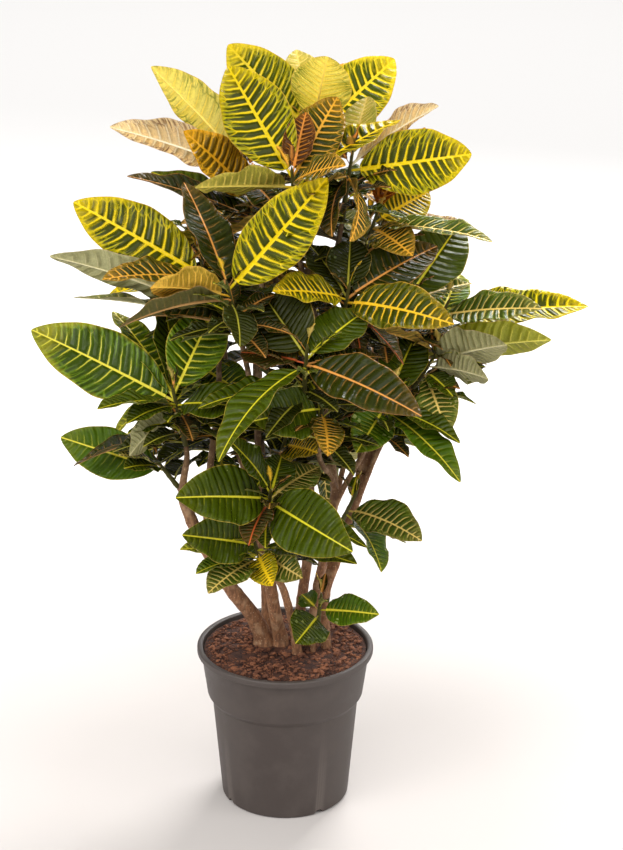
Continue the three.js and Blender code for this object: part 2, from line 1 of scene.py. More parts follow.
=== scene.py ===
"""Looks of a branched croton in a round nursery pot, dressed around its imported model."""
import logging
import math
from dataclasses import dataclass, field
from enum import Enum

import bpy
import numpy as np
from mathutils import Euler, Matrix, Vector


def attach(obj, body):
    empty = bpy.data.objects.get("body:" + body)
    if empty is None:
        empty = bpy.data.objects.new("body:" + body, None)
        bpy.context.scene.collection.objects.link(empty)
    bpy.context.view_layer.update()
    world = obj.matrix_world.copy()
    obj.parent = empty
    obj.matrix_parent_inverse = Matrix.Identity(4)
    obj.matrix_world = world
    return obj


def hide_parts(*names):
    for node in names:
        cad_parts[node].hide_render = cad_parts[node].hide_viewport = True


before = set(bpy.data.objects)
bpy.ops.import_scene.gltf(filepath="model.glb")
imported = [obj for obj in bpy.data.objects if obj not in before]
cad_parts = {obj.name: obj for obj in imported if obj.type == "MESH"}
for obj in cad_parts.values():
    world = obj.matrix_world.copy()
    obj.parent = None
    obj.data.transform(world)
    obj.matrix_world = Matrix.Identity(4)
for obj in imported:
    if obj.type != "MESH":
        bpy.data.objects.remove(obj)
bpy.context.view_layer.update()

LOG = logging.getLogger("croton")

# What a mesh's points carry and what a material's nodes give, by name
Carried = dict[str, np.ndarray | tuple[float, ...]]
Socket = bpy.types.NodeSocket
Sockets = dict[str, Socket]

MM = 0.001
BODY = "root"
COLOUR_MIX = {"out": 2, "data_type": "RGBA"}
DECIMETRE = 100.0

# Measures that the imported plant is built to, in millimetres: the soil's level, a green shoot and how
# far it stands over its whorl, the gap under a shoot, the run of a whorl's leaf roots along it, the
# leaf stalk, the blade's thickness and the height of its wave
SOIL_TOP = 216.0
SHOOT_RADIUS = 3.6
SHOOT_ABOVE = 40.0
SEAT_GAP = 0.35
ROOT_SPREAD = 35.0
PETIOLE = 12.0
BLADE = 0.7
WAVE = 3.0

# Its rules: waves along a blade, fold of a blade's halves, degrees between leaves along a shoot, how
# far a branch's bend is pulled out as a share of its span, and what a leaf's phase is drawn out to
WAVES = 2.3
FOLD = math.radians(14)
GOLDEN_ANGLE = 137.5
BRANCH_PULL = 0.35
SEED_SPREAD = 90.0


class Tone(Enum):
    """Named colourings that the leaves of one croton carry, from sunlit top to shaded base."""

    BRIGHT = "bright yellow veins and tip"
    SUNNY = "almost all yellow, with green islands"
    YELLOW_VEINED = "yellow veins on dark green"
    FINE_LINED = "fine golden veins on dark olive"
    YELLOW_LINED = "thin yellow veins on fresh green"
    ORANGE_VEINED = "orange and cream veins on dark green"
    GOLD = "golden with green patches"
    ORANGE = "young orange"
    RUSSET = "brown-red with orange rib"
    PALE = "pale yellow, lit from behind"
    BLUSH = "pinkish yellow, lit from behind"
    LIME = "light green, lit from behind"
    GREY = "grey-green with pale underside"
    FRESH = "fresh green with yellow rib"
    GREEN = "dark green with yellow rib"
    CREAM_LINED = "dark green with cream-orange veins"
    DARK = "deep green with olive rib"
    DARK_ORANGE = "deep green with orange rib"
    RED_RIBBED = "deep green with red rib"


@dataclass(frozen=True)
class Leaf:
    """One leaf of a shoot: where it points, its size and its colouring.

    Angles are in degrees and lengths in millimetres; height is its place along the shoot, or None
    where it follows from how far the leaf rises.
    """

    azimuth: float
    elevation: float
    length: float
    width: float
    roll: float
    droop: float
    tone: Tone
    height: float | None = None


@dataclass(frozen=True)
class Shoot:
    """A leafy shoot: the stem it grows on, its whorl and lean, its leaves and what fills it.

    fork is the place on the stem where its branch leaves, from the foot (0) to the top (1). at is
    the foot of the whorl, lean the azimuth that the shoot leans to and its angle from upright, and
    below its length under the whorl. more is how many leaves the spiral rule adds, from its place
    first, with size as their length and the tones of fill in turn.
    """

    name: str
    stem: str
    fork: float
    at: tuple[float, float, float]
    lean: tuple[float, float]
    below: float
    more: int
    first: int
    size: float
    fill: tuple[Tone, ...]
    leaves: tuple[Leaf, ...]

    @property
    def axis(self) -> np.ndarray:
        """Unit vector along the shoot, upwards."""
        return direction(self.lean[0], 90 - self.lean[1])

    def point(self, height: float) -> np.ndarray:
        """Point of the shoot at a height over the foot of its whorl."""
        return np.array(self.at) + height * self.axis


@dataclass(frozen=True)
class Stem:
    """A woody stem: its foot on the soil, radius at foot and top, and route above the foot."""

    name: str
    foot: tuple[float, float]
    radii: tuple[float, float]
    route: tuple[tuple[float, float, float], ...]


SHOOTS = (
    Shoot("top_front", "stem_right", 1.0, (10, -40, 855), (262, 22), 60, 3, 0, 120,
          (Tone.YELLOW_VEINED, Tone.ORANGE_VEINED, Tone.RUSSET), (
        Leaf(124, 39, 175, 88, 40, 12, Tone.BRIGHT), Leaf(58, 38, 125, 65, -35, 15, Tone.ORANGE_VEINED),
        Leaf(-143, 7, 135, 64, -40, 6, Tone.YELLOW_VEINED),
        Leaf(28, 18, 155, 66, -5, 15, Tone.YELLOW_VEINED),
        Leaf(-57, 20, 110, 50, -40, 20, Tone.ORANGE_VEINED), Leaf(82, 46, 75, 42, 5, 15, Tone.RUSSET),
    )),
    Shoot("top_back", "stem_back", 1.0, (35, 85, 885), (90, 6), 60, 4, 0, 125,
          (Tone.YELLOW_VEINED, Tone.BRIGHT, Tone.GOLD), (
        Leaf(139, 34, 165, 82, 55, 12, Tone.SUNNY), Leaf(-79, 50, 125, 80, 20, 12, Tone.PALE),
        Leaf(100, 37, 135, 70, 15, 10, Tone.PALE), Leaf(113, 35, 115, 50, 10, 12, Tone.ORANGE),
        Leaf(38, 31, 150, 82, -60, 15, Tone.SUNNY), Leaf(63, 35, 135, 55, 5, 12, Tone.GOLD),
    )),
    Shoot("top_left", "stem_middle", 1.0, (-45, 40, 850), (150, 12), 60, 3, 0, 130,
          (Tone.YELLOW_VEINED, Tone.GOLD, Tone.DARK_ORANGE), (
        Leaf(144, 36, 180, 78, -85, 10, Tone.PALE), Leaf(161, 14, 185, 76, -55, 14, Tone.BLUSH),
        Leaf(-149, 44, 125, 66, 70, 14, Tone.GOLD, -18),
        Leaf(-163, 22, 170, 60, 15, 16, Tone.DARK_ORANGE, -48),
        Leaf(120, 25, 95, 45, -35, 12, Tone.RUSSET), Leaf(169, 23, 140, 60, 15, 16, Tone.GREEN, -50),
        Leaf(-61, -12, 100, 55, -15, 25, Tone.DARK_ORANGE),
    )),
    Shoot("top_right", "stem_right", 0.95, (80, 10, 865), (300, 14), 60, 2, 0, 125,
          (Tone.YELLOW_VEINED, Tone.GREEN, Tone.ORANGE_VEINED), (
        Leaf(25, 2, 165, 86, -75, 15, Tone.BRIGHT), Leaf(36, 25, 155, 66, 55, 15, Tone.BLUSH),
        Leaf(75, 36, 100, 60, 20, 12, Tone.PALE), Leaf(-91, -23, 125, 50, 70, 40, Tone.ORANGE_VEINED),
        Leaf(-101, -22, 120, 50, -40, 40, Tone.DARK_ORANGE),
        Leaf(-110, -15, 100, 50, -10, 30, Tone.ORANGE_VEINED),
    )),
    Shoot("upper_right", "stem_far_right", 0.85, (110, 40, 785), (20, 18), 60, 4, 0, 130,
          (Tone.GREY, Tone.DARK_ORANGE, Tone.YELLOW_VEINED), (
        Leaf(50, 44, 130, 60, 10, 15, Tone.ORANGE), Leaf(37, 17, 85, 65, -45, 15, Tone.YELLOW_VEINED),
        Leaf(-32, 1, 160, 60, -5, 22, Tone.CREAM_LINED), Leaf(20, 3, 145, 62, -10, 18, Tone.BLUSH),
        Leaf(-56, -2, 90, 56, -25, 22, Tone.ORANGE_VEINED), Leaf(67, 3, 80, 50, -50, 15, Tone.GREY),
    )),
    Shoot("right_high", "stem_far_right", 0.7, (150, 25, 685), (350, 25), 60, 3, 0, 125,
          (Tone.DARK, Tone.GREEN, Tone.DARK_ORANGE), (
        Leaf(53, 32, 135, 80, -40, 15, Tone.GREEN), Leaf(25, 9, 90, 45, -10, 18, Tone.CREAM_LINED),
    )),
    Shoot("mid_left", "stem_middle", 0.75, (-65, -115, 735), (250, 28), 60, 4, 0, 140,
          (Tone.DARK_ORANGE, Tone.ORANGE_VEINED, Tone.GREEN), (
        Leaf(33, 37, 170, 80, -60, 12, Tone.BRIGHT), Leaf(117, 40, 155, 62, -10, 15, Tone.DARK_ORANGE),
        Leaf(-144, 14, 105, 62, -55, 20, Tone.GOLD), Leaf(-146, 1, 145, 60, -40, 25, Tone.DARK_ORANGE),
        Leaf(-82, -21, 75, 50, 25, 30, Tone.DARK),
    )),
    Shoot("outer_left", "stem_left", 0.62, (-100, -10, 725), (180, 10), 60, 3, 0, 150,
          (Tone.GREEN, Tone.GREY, Tone.DARK), (
        Leaf(154, 22, 195, 85, 55, 15, Tone.BRIGHT), Leaf(176, 20, 205, 70, -55, 18, Tone.GREY, -30),
        Leaf(169, 11, 175, 50, -10, 18, Tone.GREY, -42),
        Leaf(-145, 9, 140, 62, 15, 22, Tone.ORANGE_VEINED),
    )),
    Shoot("left", "stem_left", 1.0, (-135, -85, 585), (230, 15), 50, 3, 0, 130,
          (Tone.GREEN, Tone.DARK, Tone.DARK_ORANGE), (
        Leaf(62, 46, 135, 76, -30, 12, Tone.YELLOW_LINED),
        Leaf(157, 19, 205, 90, 50, 15, Tone.YELLOW_LINED),
        Leaf(122, 29, 170, 68, -15, 15, Tone.YELLOW_LINED), Leaf(99, 34, 145, 60, -30, 15, Tone.GREEN),
        Leaf(-137, 10, 115, 50, 0, 25, Tone.GREEN), Leaf(-34, 7, 110, 70, -25, 25, Tone.GREEN),
        Leaf(-67, -23, 45, 36, 10, 35, Tone.DARK_ORANGE), Leaf(-37, -5, 100, 50, -10, 30, Tone.DARK),
        Leaf(-129, 1, 80, 45, 5, 30, Tone.GREEN), Leaf(-129, -20, 85, 50, -85, 30, Tone.GREY),
    )),
    Shoot("low_left", "stem_left", 0.86, (-150, -50, 485), (200, 35), 20, 1, 6, 100,
          (Tone.DARK, Tone.GREEN, Tone.GREY), (
        Leaf(155, 8, 145, 68, 65, 15, Tone.FRESH), Leaf(-126, 26, 80, 45, 15, 25, Tone.CREAM_LINED),
        Leaf(-125, 17, 70, 40, 20, 25, Tone.GREEN),
    )),
    Shoot("centre", "stem_right", 0.74, (25, -150, 665), (275, 28), 60, 2, 0, 120,
          (Tone.DARK, Tone.GREEN, Tone.DARK_ORANGE), (
        Leaf(117, 23, 110, 88, 35, 18, Tone.DARK), Leaf(87, 17, 80, 50, -5, 15, Tone.GREEN),
        Leaf(47, 14, 105, 65, -20, 18, Tone.GREEN), Leaf(27, -4, 95, 50, -5, 15, Tone.DARK_ORANGE),
        Leaf(-44, -7, 175, 70, -35, 25, Tone.DARK_ORANGE),
        Leaf(-128, -24, 175, 65, -10, 45, Tone.GREEN), Leaf(146, -2, 85, 60, 25, 15, Tone.RED_RIBBED),
    )),
    Shoot("centre_high", "stem_right", 0.86, (75, -60, 715), (290, 22), 60, 2, 0, 120,
          (Tone.DARK, Tone.DARK_ORANGE, Tone.ORANGE_VEINED), (
        Leaf(86, 31, 85, 60, 0, 12, Tone.DARK), Leaf(-148, 13, 100, 65, 25, 20, Tone.YELLOW_VEINED),
        Leaf(-38, 0, 150, 70, -40, 25, Tone.FINE_LINED), Leaf(121, 21, 105, 55, 5, 15, Tone.DARK),
        Leaf(38, 16, 145, 70, -30, 18, Tone.DARK_ORANGE),
        Leaf(-36, -29, 95, 45, 15, 25, Tone.RED_RIBBED),
        Leaf(-62, -35, 55, 36, 20, 35, Tone.RED_RIBBED),
    )),
    Shoot("centre_low", "stem_right", 0.62, (45, -120, 595), (275, 28), 60, 1, 0, 100,
          (Tone.DARK, Tone.RED_RIBBED, Tone.GREEN), (
        Leaf(-143, 3, 95, 75, 55, 25, Tone.GREEN), Leaf(-38, 9, 95, 60, -10, 25, Tone.DARK),
        Leaf(108, 12, 80, 50, 30, 20, Tone.DARK), Leaf(-85, -21, 70, 45, 15, 35, Tone.ORANGE_VEINED),
    )),
    Shoot("inner", "stem_middle", 0.5, (-5, -45, 515), (300, 25), 40, 2, 0, 95,
          (Tone.DARK, Tone.GREEN, Tone.DARK_ORANGE), (
        Leaf(-45, 11, 70, 50, -40, 25, Tone.FINE_LINED),
    )),
    Shoot("front_low", "stem_middle", 0.36, (-20, -120, 475), (275, 42), 45, 2, 0, 110,
          (Tone.GREEN, Tone.DARK, Tone.DARK_ORANGE), (
        Leaf(78, 28, 65, 50, -15, 20, Tone.GREEN), Leaf(43, 15, 85, 55, -20, 20, Tone.CREAM_LINED),
        Leaf(-146, 13, 130, 80, 55, 22, Tone.GREEN), Leaf(-152, 54, 90, 50, 45, 25, Tone.GREEN),
        Leaf(-109, -20, 70, 45, -10, 35, Tone.RED_RIBBED), Leaf(-49, -7, 145, 84, -55, 25, Tone.GREEN),
    )),
    Shoot("front_base", "stem_front", 1.0, (-35, -70, 385), (235, 25), 18, 2, 0, 95,
          (Tone.GREEN, Tone.CREAM_LINED, Tone.DARK), (
        Leaf(-140, 21, 115, 65, 70, 22, Tone.GREEN),
        Leaf(-149, 16, 110, 50, 10, 25, Tone.YELLOW_LINED, -4),
        Leaf(-143, 2, 90, 50, 0, 28, Tone.FRESH, -8),
        Leaf(-131, -9, 90, 60, 40, 30, Tone.CREAM_LINED, -10),
        Leaf(-72, -18, 55, 45, -20, 35, Tone.YELLOW_VEINED),
        Leaf(-43, -10, 70, 50, -20, 30, Tone.CREAM_LINED), Leaf(-32, 0, 140, 65, -5, 25, Tone.GREEN),
    )),
    Shoot("sucker", "stem_sucker", 1.0, (45, -20, 270), (300, 10), 16, 0, 0, 45,
          (Tone.GREEN,), (
        Leaf(-35, 11, 85, 46, -50, 20, Tone.FRESH), Leaf(-117, -10, 60, 60, 35, 30, Tone.GREEN),
        Leaf(108, 7, 35, 32, 30, 15, Tone.FRESH),
    )),
    Shoot("right", "stem_far_right", 0.5, (180, 0, 610), (340, 30), 45, 3, 3, 100,
          (Tone.DARK, Tone.GREY, Tone.GREEN), (
        Leaf(-41, 22, 115, 74, 50, 15, Tone.GREY), Leaf(-42, 7, 85, 60, 60, 20, Tone.GREY),
        Leaf(-55, -17, 50, 40, -10, 30, Tone.GREEN), Leaf(-68, -37, 85, 58, -15, 35, Tone.CREAM_LINED),
    )),
    Shoot("far_right", "stem_far_right", 0.6, (200, 50, 660), (10, 25), 60, 3, 7, 130,
          (Tone.DARK_ORANGE, Tone.GREY, Tone.YELLOW_LINED), (
        Leaf(-36, 13, 140, 56, -35, 16, Tone.CREAM_LINED), Leaf(13, 1, 195, 72, -25, 12, Tone.BRIGHT),
        Leaf(-14, 11, 160, 76, 60, 12, Tone.LIME, -45),
    )),
    Shoot("right_inner", "stem_right", 0.55, (125, -50, 575), (320, 25), 60, 2, 0, 110,
          (Tone.DARK, Tone.GREEN, Tone.DARK_ORANGE), (
        Leaf(-51, -21, 145, 54, 0, 30, Tone.FRESH), Leaf(-35, -12, 105, 50, 0, 30, Tone.GREEN),
        Leaf(67, 29, 110, 65, -15, 18, Tone.GREEN), Leaf(-117, -22, 75, 60, 30, 40, Tone.FRESH),
    )),
    Shoot("low_right", "stem_right", 0.38, (80, -30, 425), (330, 25), 30, 2, 0, 85,
          (Tone.GREEN, Tone.DARK), (
        Leaf(-39, -6, 110, 68, -20, 35, Tone.CREAM_LINED), Leaf(-59, -32, 90, 60, 30, 40, Tone.FRESH),
    )),
    Shoot("back_high", "stem_back", 0.8, (-25, 150, 800), (110, 18), 65, 7, 0, 130,
          (Tone.BRIGHT, Tone.YELLOW_VEINED, Tone.ORANGE_VEINED), ()),
    Shoot("back_right_high", "stem_far_right", 0.9, (105, 140, 745), (50, 20), 65, 7, 0, 130,
          (Tone.YELLOW_VEINED, Tone.GOLD, Tone.ORANGE_VEINED), ()),
    Shoot("back_left_high", "stem_back_left", 1.0, (-110, 110, 740), (140, 20), 65, 7, 0, 130,
          (Tone.YELLOW_VEINED, Tone.BRIGHT, Tone.ORANGE_VEINED), ()),
    Shoot("back_middle", "stem_back", 0.6, (20, 165, 650), (90, 25), 65, 7, 0, 135,
          (Tone.YELLOW_LINED, Tone.DARK_ORANGE, Tone.YELLOW_VEINED), ()),
    Shoot("back_right", "stem_far_right", 0.4, (140, 130, 610), (40, 30), 65, 6, 0, 130,
          (Tone.YELLOW_LINED, Tone.DARK_ORANGE, Tone.GREEN), ()),
    Shoot("back_left", "stem_back_left", 0.8, (-130, 90, 620), (150, 28), 65, 6, 0, 125,
          (Tone.YELLOW_LINED, Tone.GREEN, Tone.DARK_ORANGE), ()),
    Shoot("back_low", "stem_back", 0.4, (40, 125, 500), (80, 28), 65, 5, 0, 120,
          (Tone.GREEN, Tone.CREAM_LINED, Tone.DARK), (
        Leaf(-65, -52, 125, 66, 35, 8, Tone.CREAM_LINED),
    )),
    Shoot("back_left_low", "stem_back_left", 0.5, (-100, 125, 505), (120, 30), 65, 6, 0, 115,
          (Tone.GREEN, Tone.DARK, Tone.YELLOW_LINED), ()),
)

STEMS = (
    Stem("stem_left", (-30, 12), (13.5, 8),
         ((-44, 0, 263), (-74, -18, 314), (-100, -34, 368), (-120, -43, 414), (-130, -48, 445))),
    Stem("stem_middle", (-7, 10), (10.5, 6.5),
         ((-14, -8, 272), (-20, -22, 320), (-28, -28, 370), (-30, -8, 440), (-34, 8, 520),
          (-36, 14, 600))),
    Stem("stem_front", (16, -22), (7, 5), ((6, -36, 286), (-5, -46, 329), (-16, -56, 348))),
    Stem("stem_right", (38, 18), (7.5, 6),
         ((41, 20, 275), (50, 16, 330), (60, 12, 390), (66, 12, 440), (58, 14, 495), (50, 18, 560),
          (44, 22, 640))),
    Stem("stem_far_right", (56, 2), (6, 6),
         ((56, 30, 280), (74, 44, 335), (92, 54, 400), (110, 58, 470), (120, 58, 540))),
    Stem("stem_back", (18, 36), (8, 7),
         ((24, 48, 275), (32, 62, 330), (34, 78, 400), (30, 88, 480), (24, 96, 560))),
    Stem("stem_back_left", (-24, 44), (9, 7),
         ((-26, 50, 280), (-30, 60, 340), (-44, 76, 410), (-64, 84, 480))),
    Stem("stem_sucker", (38, -12), (3.6, 3), ((39, -16, 240),)),
)

# Small turns that a leaf may have taken to pass its neighbours: azimuth, elevation and roll in degrees
TURNS = (
    (0, 0, 0), (0, 5, 0), (0, -5, 0), (6, 0, 0), (-6, 0, 0), (0, 0, 16), (0, 0, -16),
    (6, 6, 0), (-6, 6, 0), (6, -6, 0), (-6, -6, 0), (0, 11, 0), (0, -11, 0), (12, 0, 0), (-12, 0, 0),
    (0, 0, 32), (0, 0, -32), (12, 8, 12), (-12, 8, -12), (12, -8, 12), (-12, -8, -12),
    (0, 18, 0), (0, -18, 0), (20, 0, 0), (-20, 0, 0),
)


@dataclass(frozen=True)
class LeafLook:
    """Colours and veins of one colouring.

    Colours are sRGB codes of the upper face (blade, halo, vein) and the underside (under,
    under_halo, under_vein). rib and lateral are half-widths of the veins in millimetres, reach is
    how far out the laterals run as a share of the half blade, flush is how far yellow spreads in
    from the tip and the margin, mottle is how blotched the blade is, shown is how much of the
    laterals shows and glow how much light passes through the blade.
    """

    blade: str
    halo: str
    vein: str
    under: str
    under_halo: str
    under_vein: str
    rib: float = 2.0
    lateral: float = 0.7
    reach: float = 1.0
    flush: float = 0.2
    mottle: float = 0.3
    shown: float = 1.0
    glow: float = 0.15


LOOKS = {
    Tone.BRIGHT: LeafLook("#424802", "#c8bc0a", "#f8d810", "#b4a82e", "#d2c03c", "#f0dc60",
        2.8, 1.08, 1.15, 0.55, 1.0, 1.0, 0.22),
    Tone.SUNNY: LeafLook("#485604", "#d4c81c", "#fae02c", "#d0c43c", "#dcd04c", "#f6e66c",
        2.8, 1.1, 1.15, 0.85, 1.0, 1.0, 0.35),
    Tone.YELLOW_VEINED: LeafLook("#343c04", "#b8aa12", "#f8d020", "#a29a3c", "#bcb040", "#e0cc60",
        2.3, 0.85, 1.1, 0.45, 0.85, 1.0, 0.2),
    Tone.FINE_LINED: LeafLook("#363e06", "#807c18", "#f2c02c", "#96903c", "#aca044", "#dcc064",
        2.2, 0.65, 1.05, 0.2, 0.5, 0.95, 0.2),
    Tone.YELLOW_LINED: LeafLook("#3c5006", "#7c9c1c", "#f4e444", "#8e9640", "#a9a84a", "#d8ce67",
        1.8, 0.5, 0.85, 0.3, 0.7, 0.7, 0.2),
    Tone.ORANGE_VEINED: LeafLook("#3a3e08", "#8c7c1c", "#f4b43a", "#a08840", "#bca03c", "#eabc5c",
        2.1, 0.85, 1.1, 0.35, 0.6, 0.95, 0.22),
    Tone.GOLD: LeafLook("#6e560e", "#e6ac1e", "#fbbc26", "#c89f33", "#968528", "#f6ca52",
        2.4, 1.0, 1.15, 0.85, 0.8, 1.0, 0.25),
    Tone.ORANGE: LeafLook("#9a5616", "#dd8a28", "#f6ae3a", "#cc8030", "#e09438", "#f2b45a",
        2.0, 0.8, 1.1, 0.5, 0.8, 0.9, 0.35),
    Tone.RUSSET: LeafLook("#44260d", "#804e1a", "#e59033", "#79542c", "#90602e", "#d58e41",
        1.8, 0.6, 1.0, 0.2, 0.4, 0.6, 0.2),
    Tone.PALE: LeafLook("#dcd064", "#a8ac40", "#fcec9c", "#fdf08c", "#8c9230", "#fae474",
        2.4, 0.8, 1.15, 0.4, 1.0, 1.0, 0.6),
    Tone.BLUSH: LeafLook("#f0d494", "#8e5628", "#fdf0c4", "#fbe4b0", "#8e5628", "#fdf0d0",
        2.0, 0.9, 1.15, 0.3, 1.0, 1.0, 0.5),
    Tone.LIME: LeafLook("#8a9428", "#b0b640", "#e8de5a", "#b0b044", "#c6c04c", "#e8e070",
        2.2, 0.6, 1.0, 0.2, 0.6, 0.7, 0.45),
    Tone.GREY: LeafLook("#666c2c", "#9a9a56", "#e6d890", "#c4c08c", "#a4a066", "#e4dcae",
        1.9, 0.5, 1.0, 0.1, 0.6, 0.6, 0.4),
    Tone.FRESH: LeafLook("#466008", "#6a8a1c", "#ecdc40", "#98a456", "#acb464", "#dcd68c",
        1.5, 0.4, 0.7, 0.08, 0.35, 0.35, 0.2),
    Tone.GREEN: LeafLook("#3a4604", "#5a6e14", "#dcd030", "#7e8842", "#94964a", "#c4bc68",
        1.5, 0.4, 0.65, 0.05, 0.35, 0.25, 0.14),
    Tone.CREAM_LINED: LeafLook("#405010", "#7c8c28", "#f0d070", "#a8a866", "#bcb870", "#ecd890",
        1.8, 0.48, 1.0, 0.15, 0.6, 0.8, 0.2),
    Tone.DARK: LeafLook("#2b2f05", "#464d11", "#b4ab3d", "#636d3d", "#777a42", "#a7a35a",
        1.2, 0.35, 0.75, 0.04, 0.2, 0.2, 0.1),
    Tone.DARK_ORANGE: LeafLook("#262c04", "#464a14", "#dc9648", "#5c5830", "#746a38", "#bc9058",
        1.5, 0.45, 0.85, 0.08, 0.3, 0.35, 0.12),
    Tone.RED_RIBBED: LeafLook("#3b3b0f", "#665321", "#d36435", "#7e6940", "#946c44", "#c47950",
        1.6, 0.4, 0.8, 0.06, 0.3, 0.3, 0.12),
}


def linear(code: str) -> tuple[float, float, float, float]:
    """Turns an sRGB colour code into linear light.

    Args:
        code: Colour as "#rrggbb".

    Returns:
        Linear red, green and blue, and an alpha of 1.
    """
    channels = np.array([int(code[i:i + 2], 16) for i in (1, 3, 5)]) / 255
    light = np.where(channels <= 0.04045, channels / 12.92, ((channels + 0.055) / 1.055) ** 2.4)
    return (*light.tolist(), 1.0)


def direction(azimuth: float, elevation: float) -> np.ndarray:
    """Unit vector that points to an azimuth from +X and an elevation from the ground, in degrees."""
    a, e = math.radians(azimuth), math.radians(elevation)
    return np.array((math.cos(e) * math.cos(a), math.cos(e) * math.sin(a), math.sin(e)))


def draw(seed: float) -> float:
    """Repeatable draw between 0 and 1: the fraction of sin(12.9898 seed) times 43758.5453."""
    value = math.sin(seed * 12.9898) * 43758.5453
    return value - math.floor(value)


def unit(vectors: np.ndarray) -> np.ndarray:
    """The vectors along the last axis, each divided by its length."""
    return vectors / np.linalg.norm(vectors, axis=-1, keepdims=True)


def around(count: int) -> np.ndarray:
    """Angles of evenly spread places round a circle."""
    return np.linspace(0.0, 2 * math.pi, count, endpoint=False)


def steps(path: np.ndarray) -> np.ndarray:
    """Distances between neighbouring points of a path."""
    return np.linalg.norm(np.diff(path, axis=0), axis=1)


def stand(name: str, data: bpy.types.ID) -> bpy.types.Object:
    """Makes an object and links it to the scene.

    Args:
        name: Its name.
        data: Mesh, camera or light that it shows.

    Returns:
        The object, at the origin.
    """
    thing = bpy.data.objects.new(name, data)
    bpy.context.scene.collection.objects.link(thing)
    return thing


@dataclass
class Surface:
    """A mesh under construction: patches of points and faces, and what each point carries.

    A carried array with 1 value a point becomes a number attribute, 2 a UV map, 3 a vector
    attribute and 4 a colour attribute.
    """

    points: list[np.ndarray] = field(default_factory=list)
    quads: list[np.ndarray] = field(default_factory=list)
    triangles: list[np.ndarray] = field(default_factory=list)
    carried: dict[str, list[np.ndarray]] = field(default_factory=dict)
    count: int = 0

    def add(self, points: np.ndarray, quads: np.ndarray, triangles: np.ndarray,
            carried: Carried | None = None) -> None:
        """Adds a patch.

        Args:
            points: Points in millimetres, with x, y and z along the last axis.
            quads: Corner numbers of its four-sided faces within the patch.
            triangles: Corner numbers of its three-sided faces within the patch.
            carried: Values of each point by attribute name, or one value for all of them.
        """
        flat = points.reshape(-1, 3)
        self.points.append(flat)
        self.quads.append(quads + self.count)
        self.triangles.append(triangles + self.count)
        for name, values in (carried or {}).items():
            width = np.shape(values)[-1]
            spread = np.broadcast_to(values, (*points.shape[:-1], width)).reshape(-1, width)
            self.carried.setdefault(name, []).append(spread)
        self.count += len(flat)

    def tube(self, rings: np.ndarray, carried: Carried | None = None) -> None:
        """Adds a closed tube: four-sided faces between its rings and a fan over each end.

        Args:
            rings: Points by ring and by place round it, counterclockwise about the path.
            carried: Values of each point by attribute name.
        """
        count, sides = rings.shape[:2]
        i, j = np.meshgrid(np.arange(count - 1), np.arange(sides), indexing="ij")
        k = (j + 1) % sides
        corners = (i * sides + j, i * sides + k, (i + 1) * sides + k, (i + 1) * sides + j)
        quads = np.stack(corners, axis=-1).reshape(-1, 4)
        k = np.arange(1, sides - 1)
        first = np.stack((0 * k, k + 1, k), axis=-1)
        last = (count - 1) * sides + np.stack((0 * k, k, k + 1), axis=-1)
        self.add(rings, quads, np.concatenate((first, last)), carried)

    def build(self, name: str, material: bpy.types.Material) -> bpy.types.Object:
        """Makes the gathered patches one smooth-shaded object in metres.

        Args:
            name: Name of the object and its mesh.
            material: Material of all its faces.

        Returns:
            The object, linked to the scene.
        """
        points = np.concatenate(self.points) * MM
        quads = np.concatenate(self.quads)
        triangles = np.concatenate(self.triangles)
        corners = np.concatenate((quads.ravel(), triangles.ravel())).astype(np.int32)
        sizes = np.concatenate((np.full(len(quads), 4), np.full(len(triangles), 3)))
        mesh = bpy.data.meshes.new(name)
        mesh.vertices.add(len(points))
        mesh.vertices.foreach_set("co", points.astype(np.float32).ravel())
        mesh.loops.add(len(corners))
        mesh.loops.foreach_set("vertex_index", corners)
        mesh.polygons.add(len(sizes))
        starts = np.concatenate(([0], np.cumsum(sizes)[:-1])).astype(np.int32)
        mesh.polygons.foreach_set("loop_start", starts)
        mesh.polygons.foreach_set("use_smooth", np.ones(len(sizes), dtype=bool))
        mesh.update(calc_edges=True)
        for label, parts in self.carried.items():
            self.carry(mesh, label, np.concatenate(parts).astype(np.float32), corners)
        mesh.materials.append(material)
        return stand(name, mesh)

    def carry(self, mesh: bpy.types.Mesh, label: str, values: np.ndarray, corners: np.ndarray) -> None:
        """Writes the values of each point to the mesh under a label.

        Args:
            mesh: Mesh with its points and faces in place.
            label: Name of the attribute or UV map.
            values: One row a point.
            corners: Point number of each face corner.
        """
        width = values.shape[1]
        if width == 2:
            mesh.uv_layers.new(name=label).uv.foreach_set("vector", values[corners].ravel())
            return
        kinds = {1: ("FLOAT", "value"), 3: ("FLOAT_VECTOR", "vector"), 4: ("FLOAT_COLOR", "color")}
        kind, key = kinds[width]
        mesh.attributes.new(label, kind, "POINT").data.foreach_set(key, values.ravel())


def settle(piece: bpy.types.Object) -> None:
    """Makes what a piece's modifiers show its own mesh, and takes them away.

    Args:
        piece: Object with modifiers.
    """
    bpy.context.view_layer.update()
    shown = piece.evaluated_get(bpy.context.evaluated_depsgraph_get())
    mesh = bpy.data.meshes.new_from_object(shown)
    piece.modifiers.clear()
    piece.data = mesh


def report(piece: bpy.types.Object) -> None:
    """Logs the name of a finished piece and how many faces it has."""
    LOG.info("%s: %d faces", piece.name, len(piece.data.polygons))


def place(piece: bpy.types.Object, slot: str, *nodes: str) -> None:
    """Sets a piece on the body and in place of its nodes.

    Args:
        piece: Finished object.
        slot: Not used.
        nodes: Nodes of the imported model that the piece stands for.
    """
    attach(piece, BODY)
    if nodes:
        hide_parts(*nodes)
    report(piece)


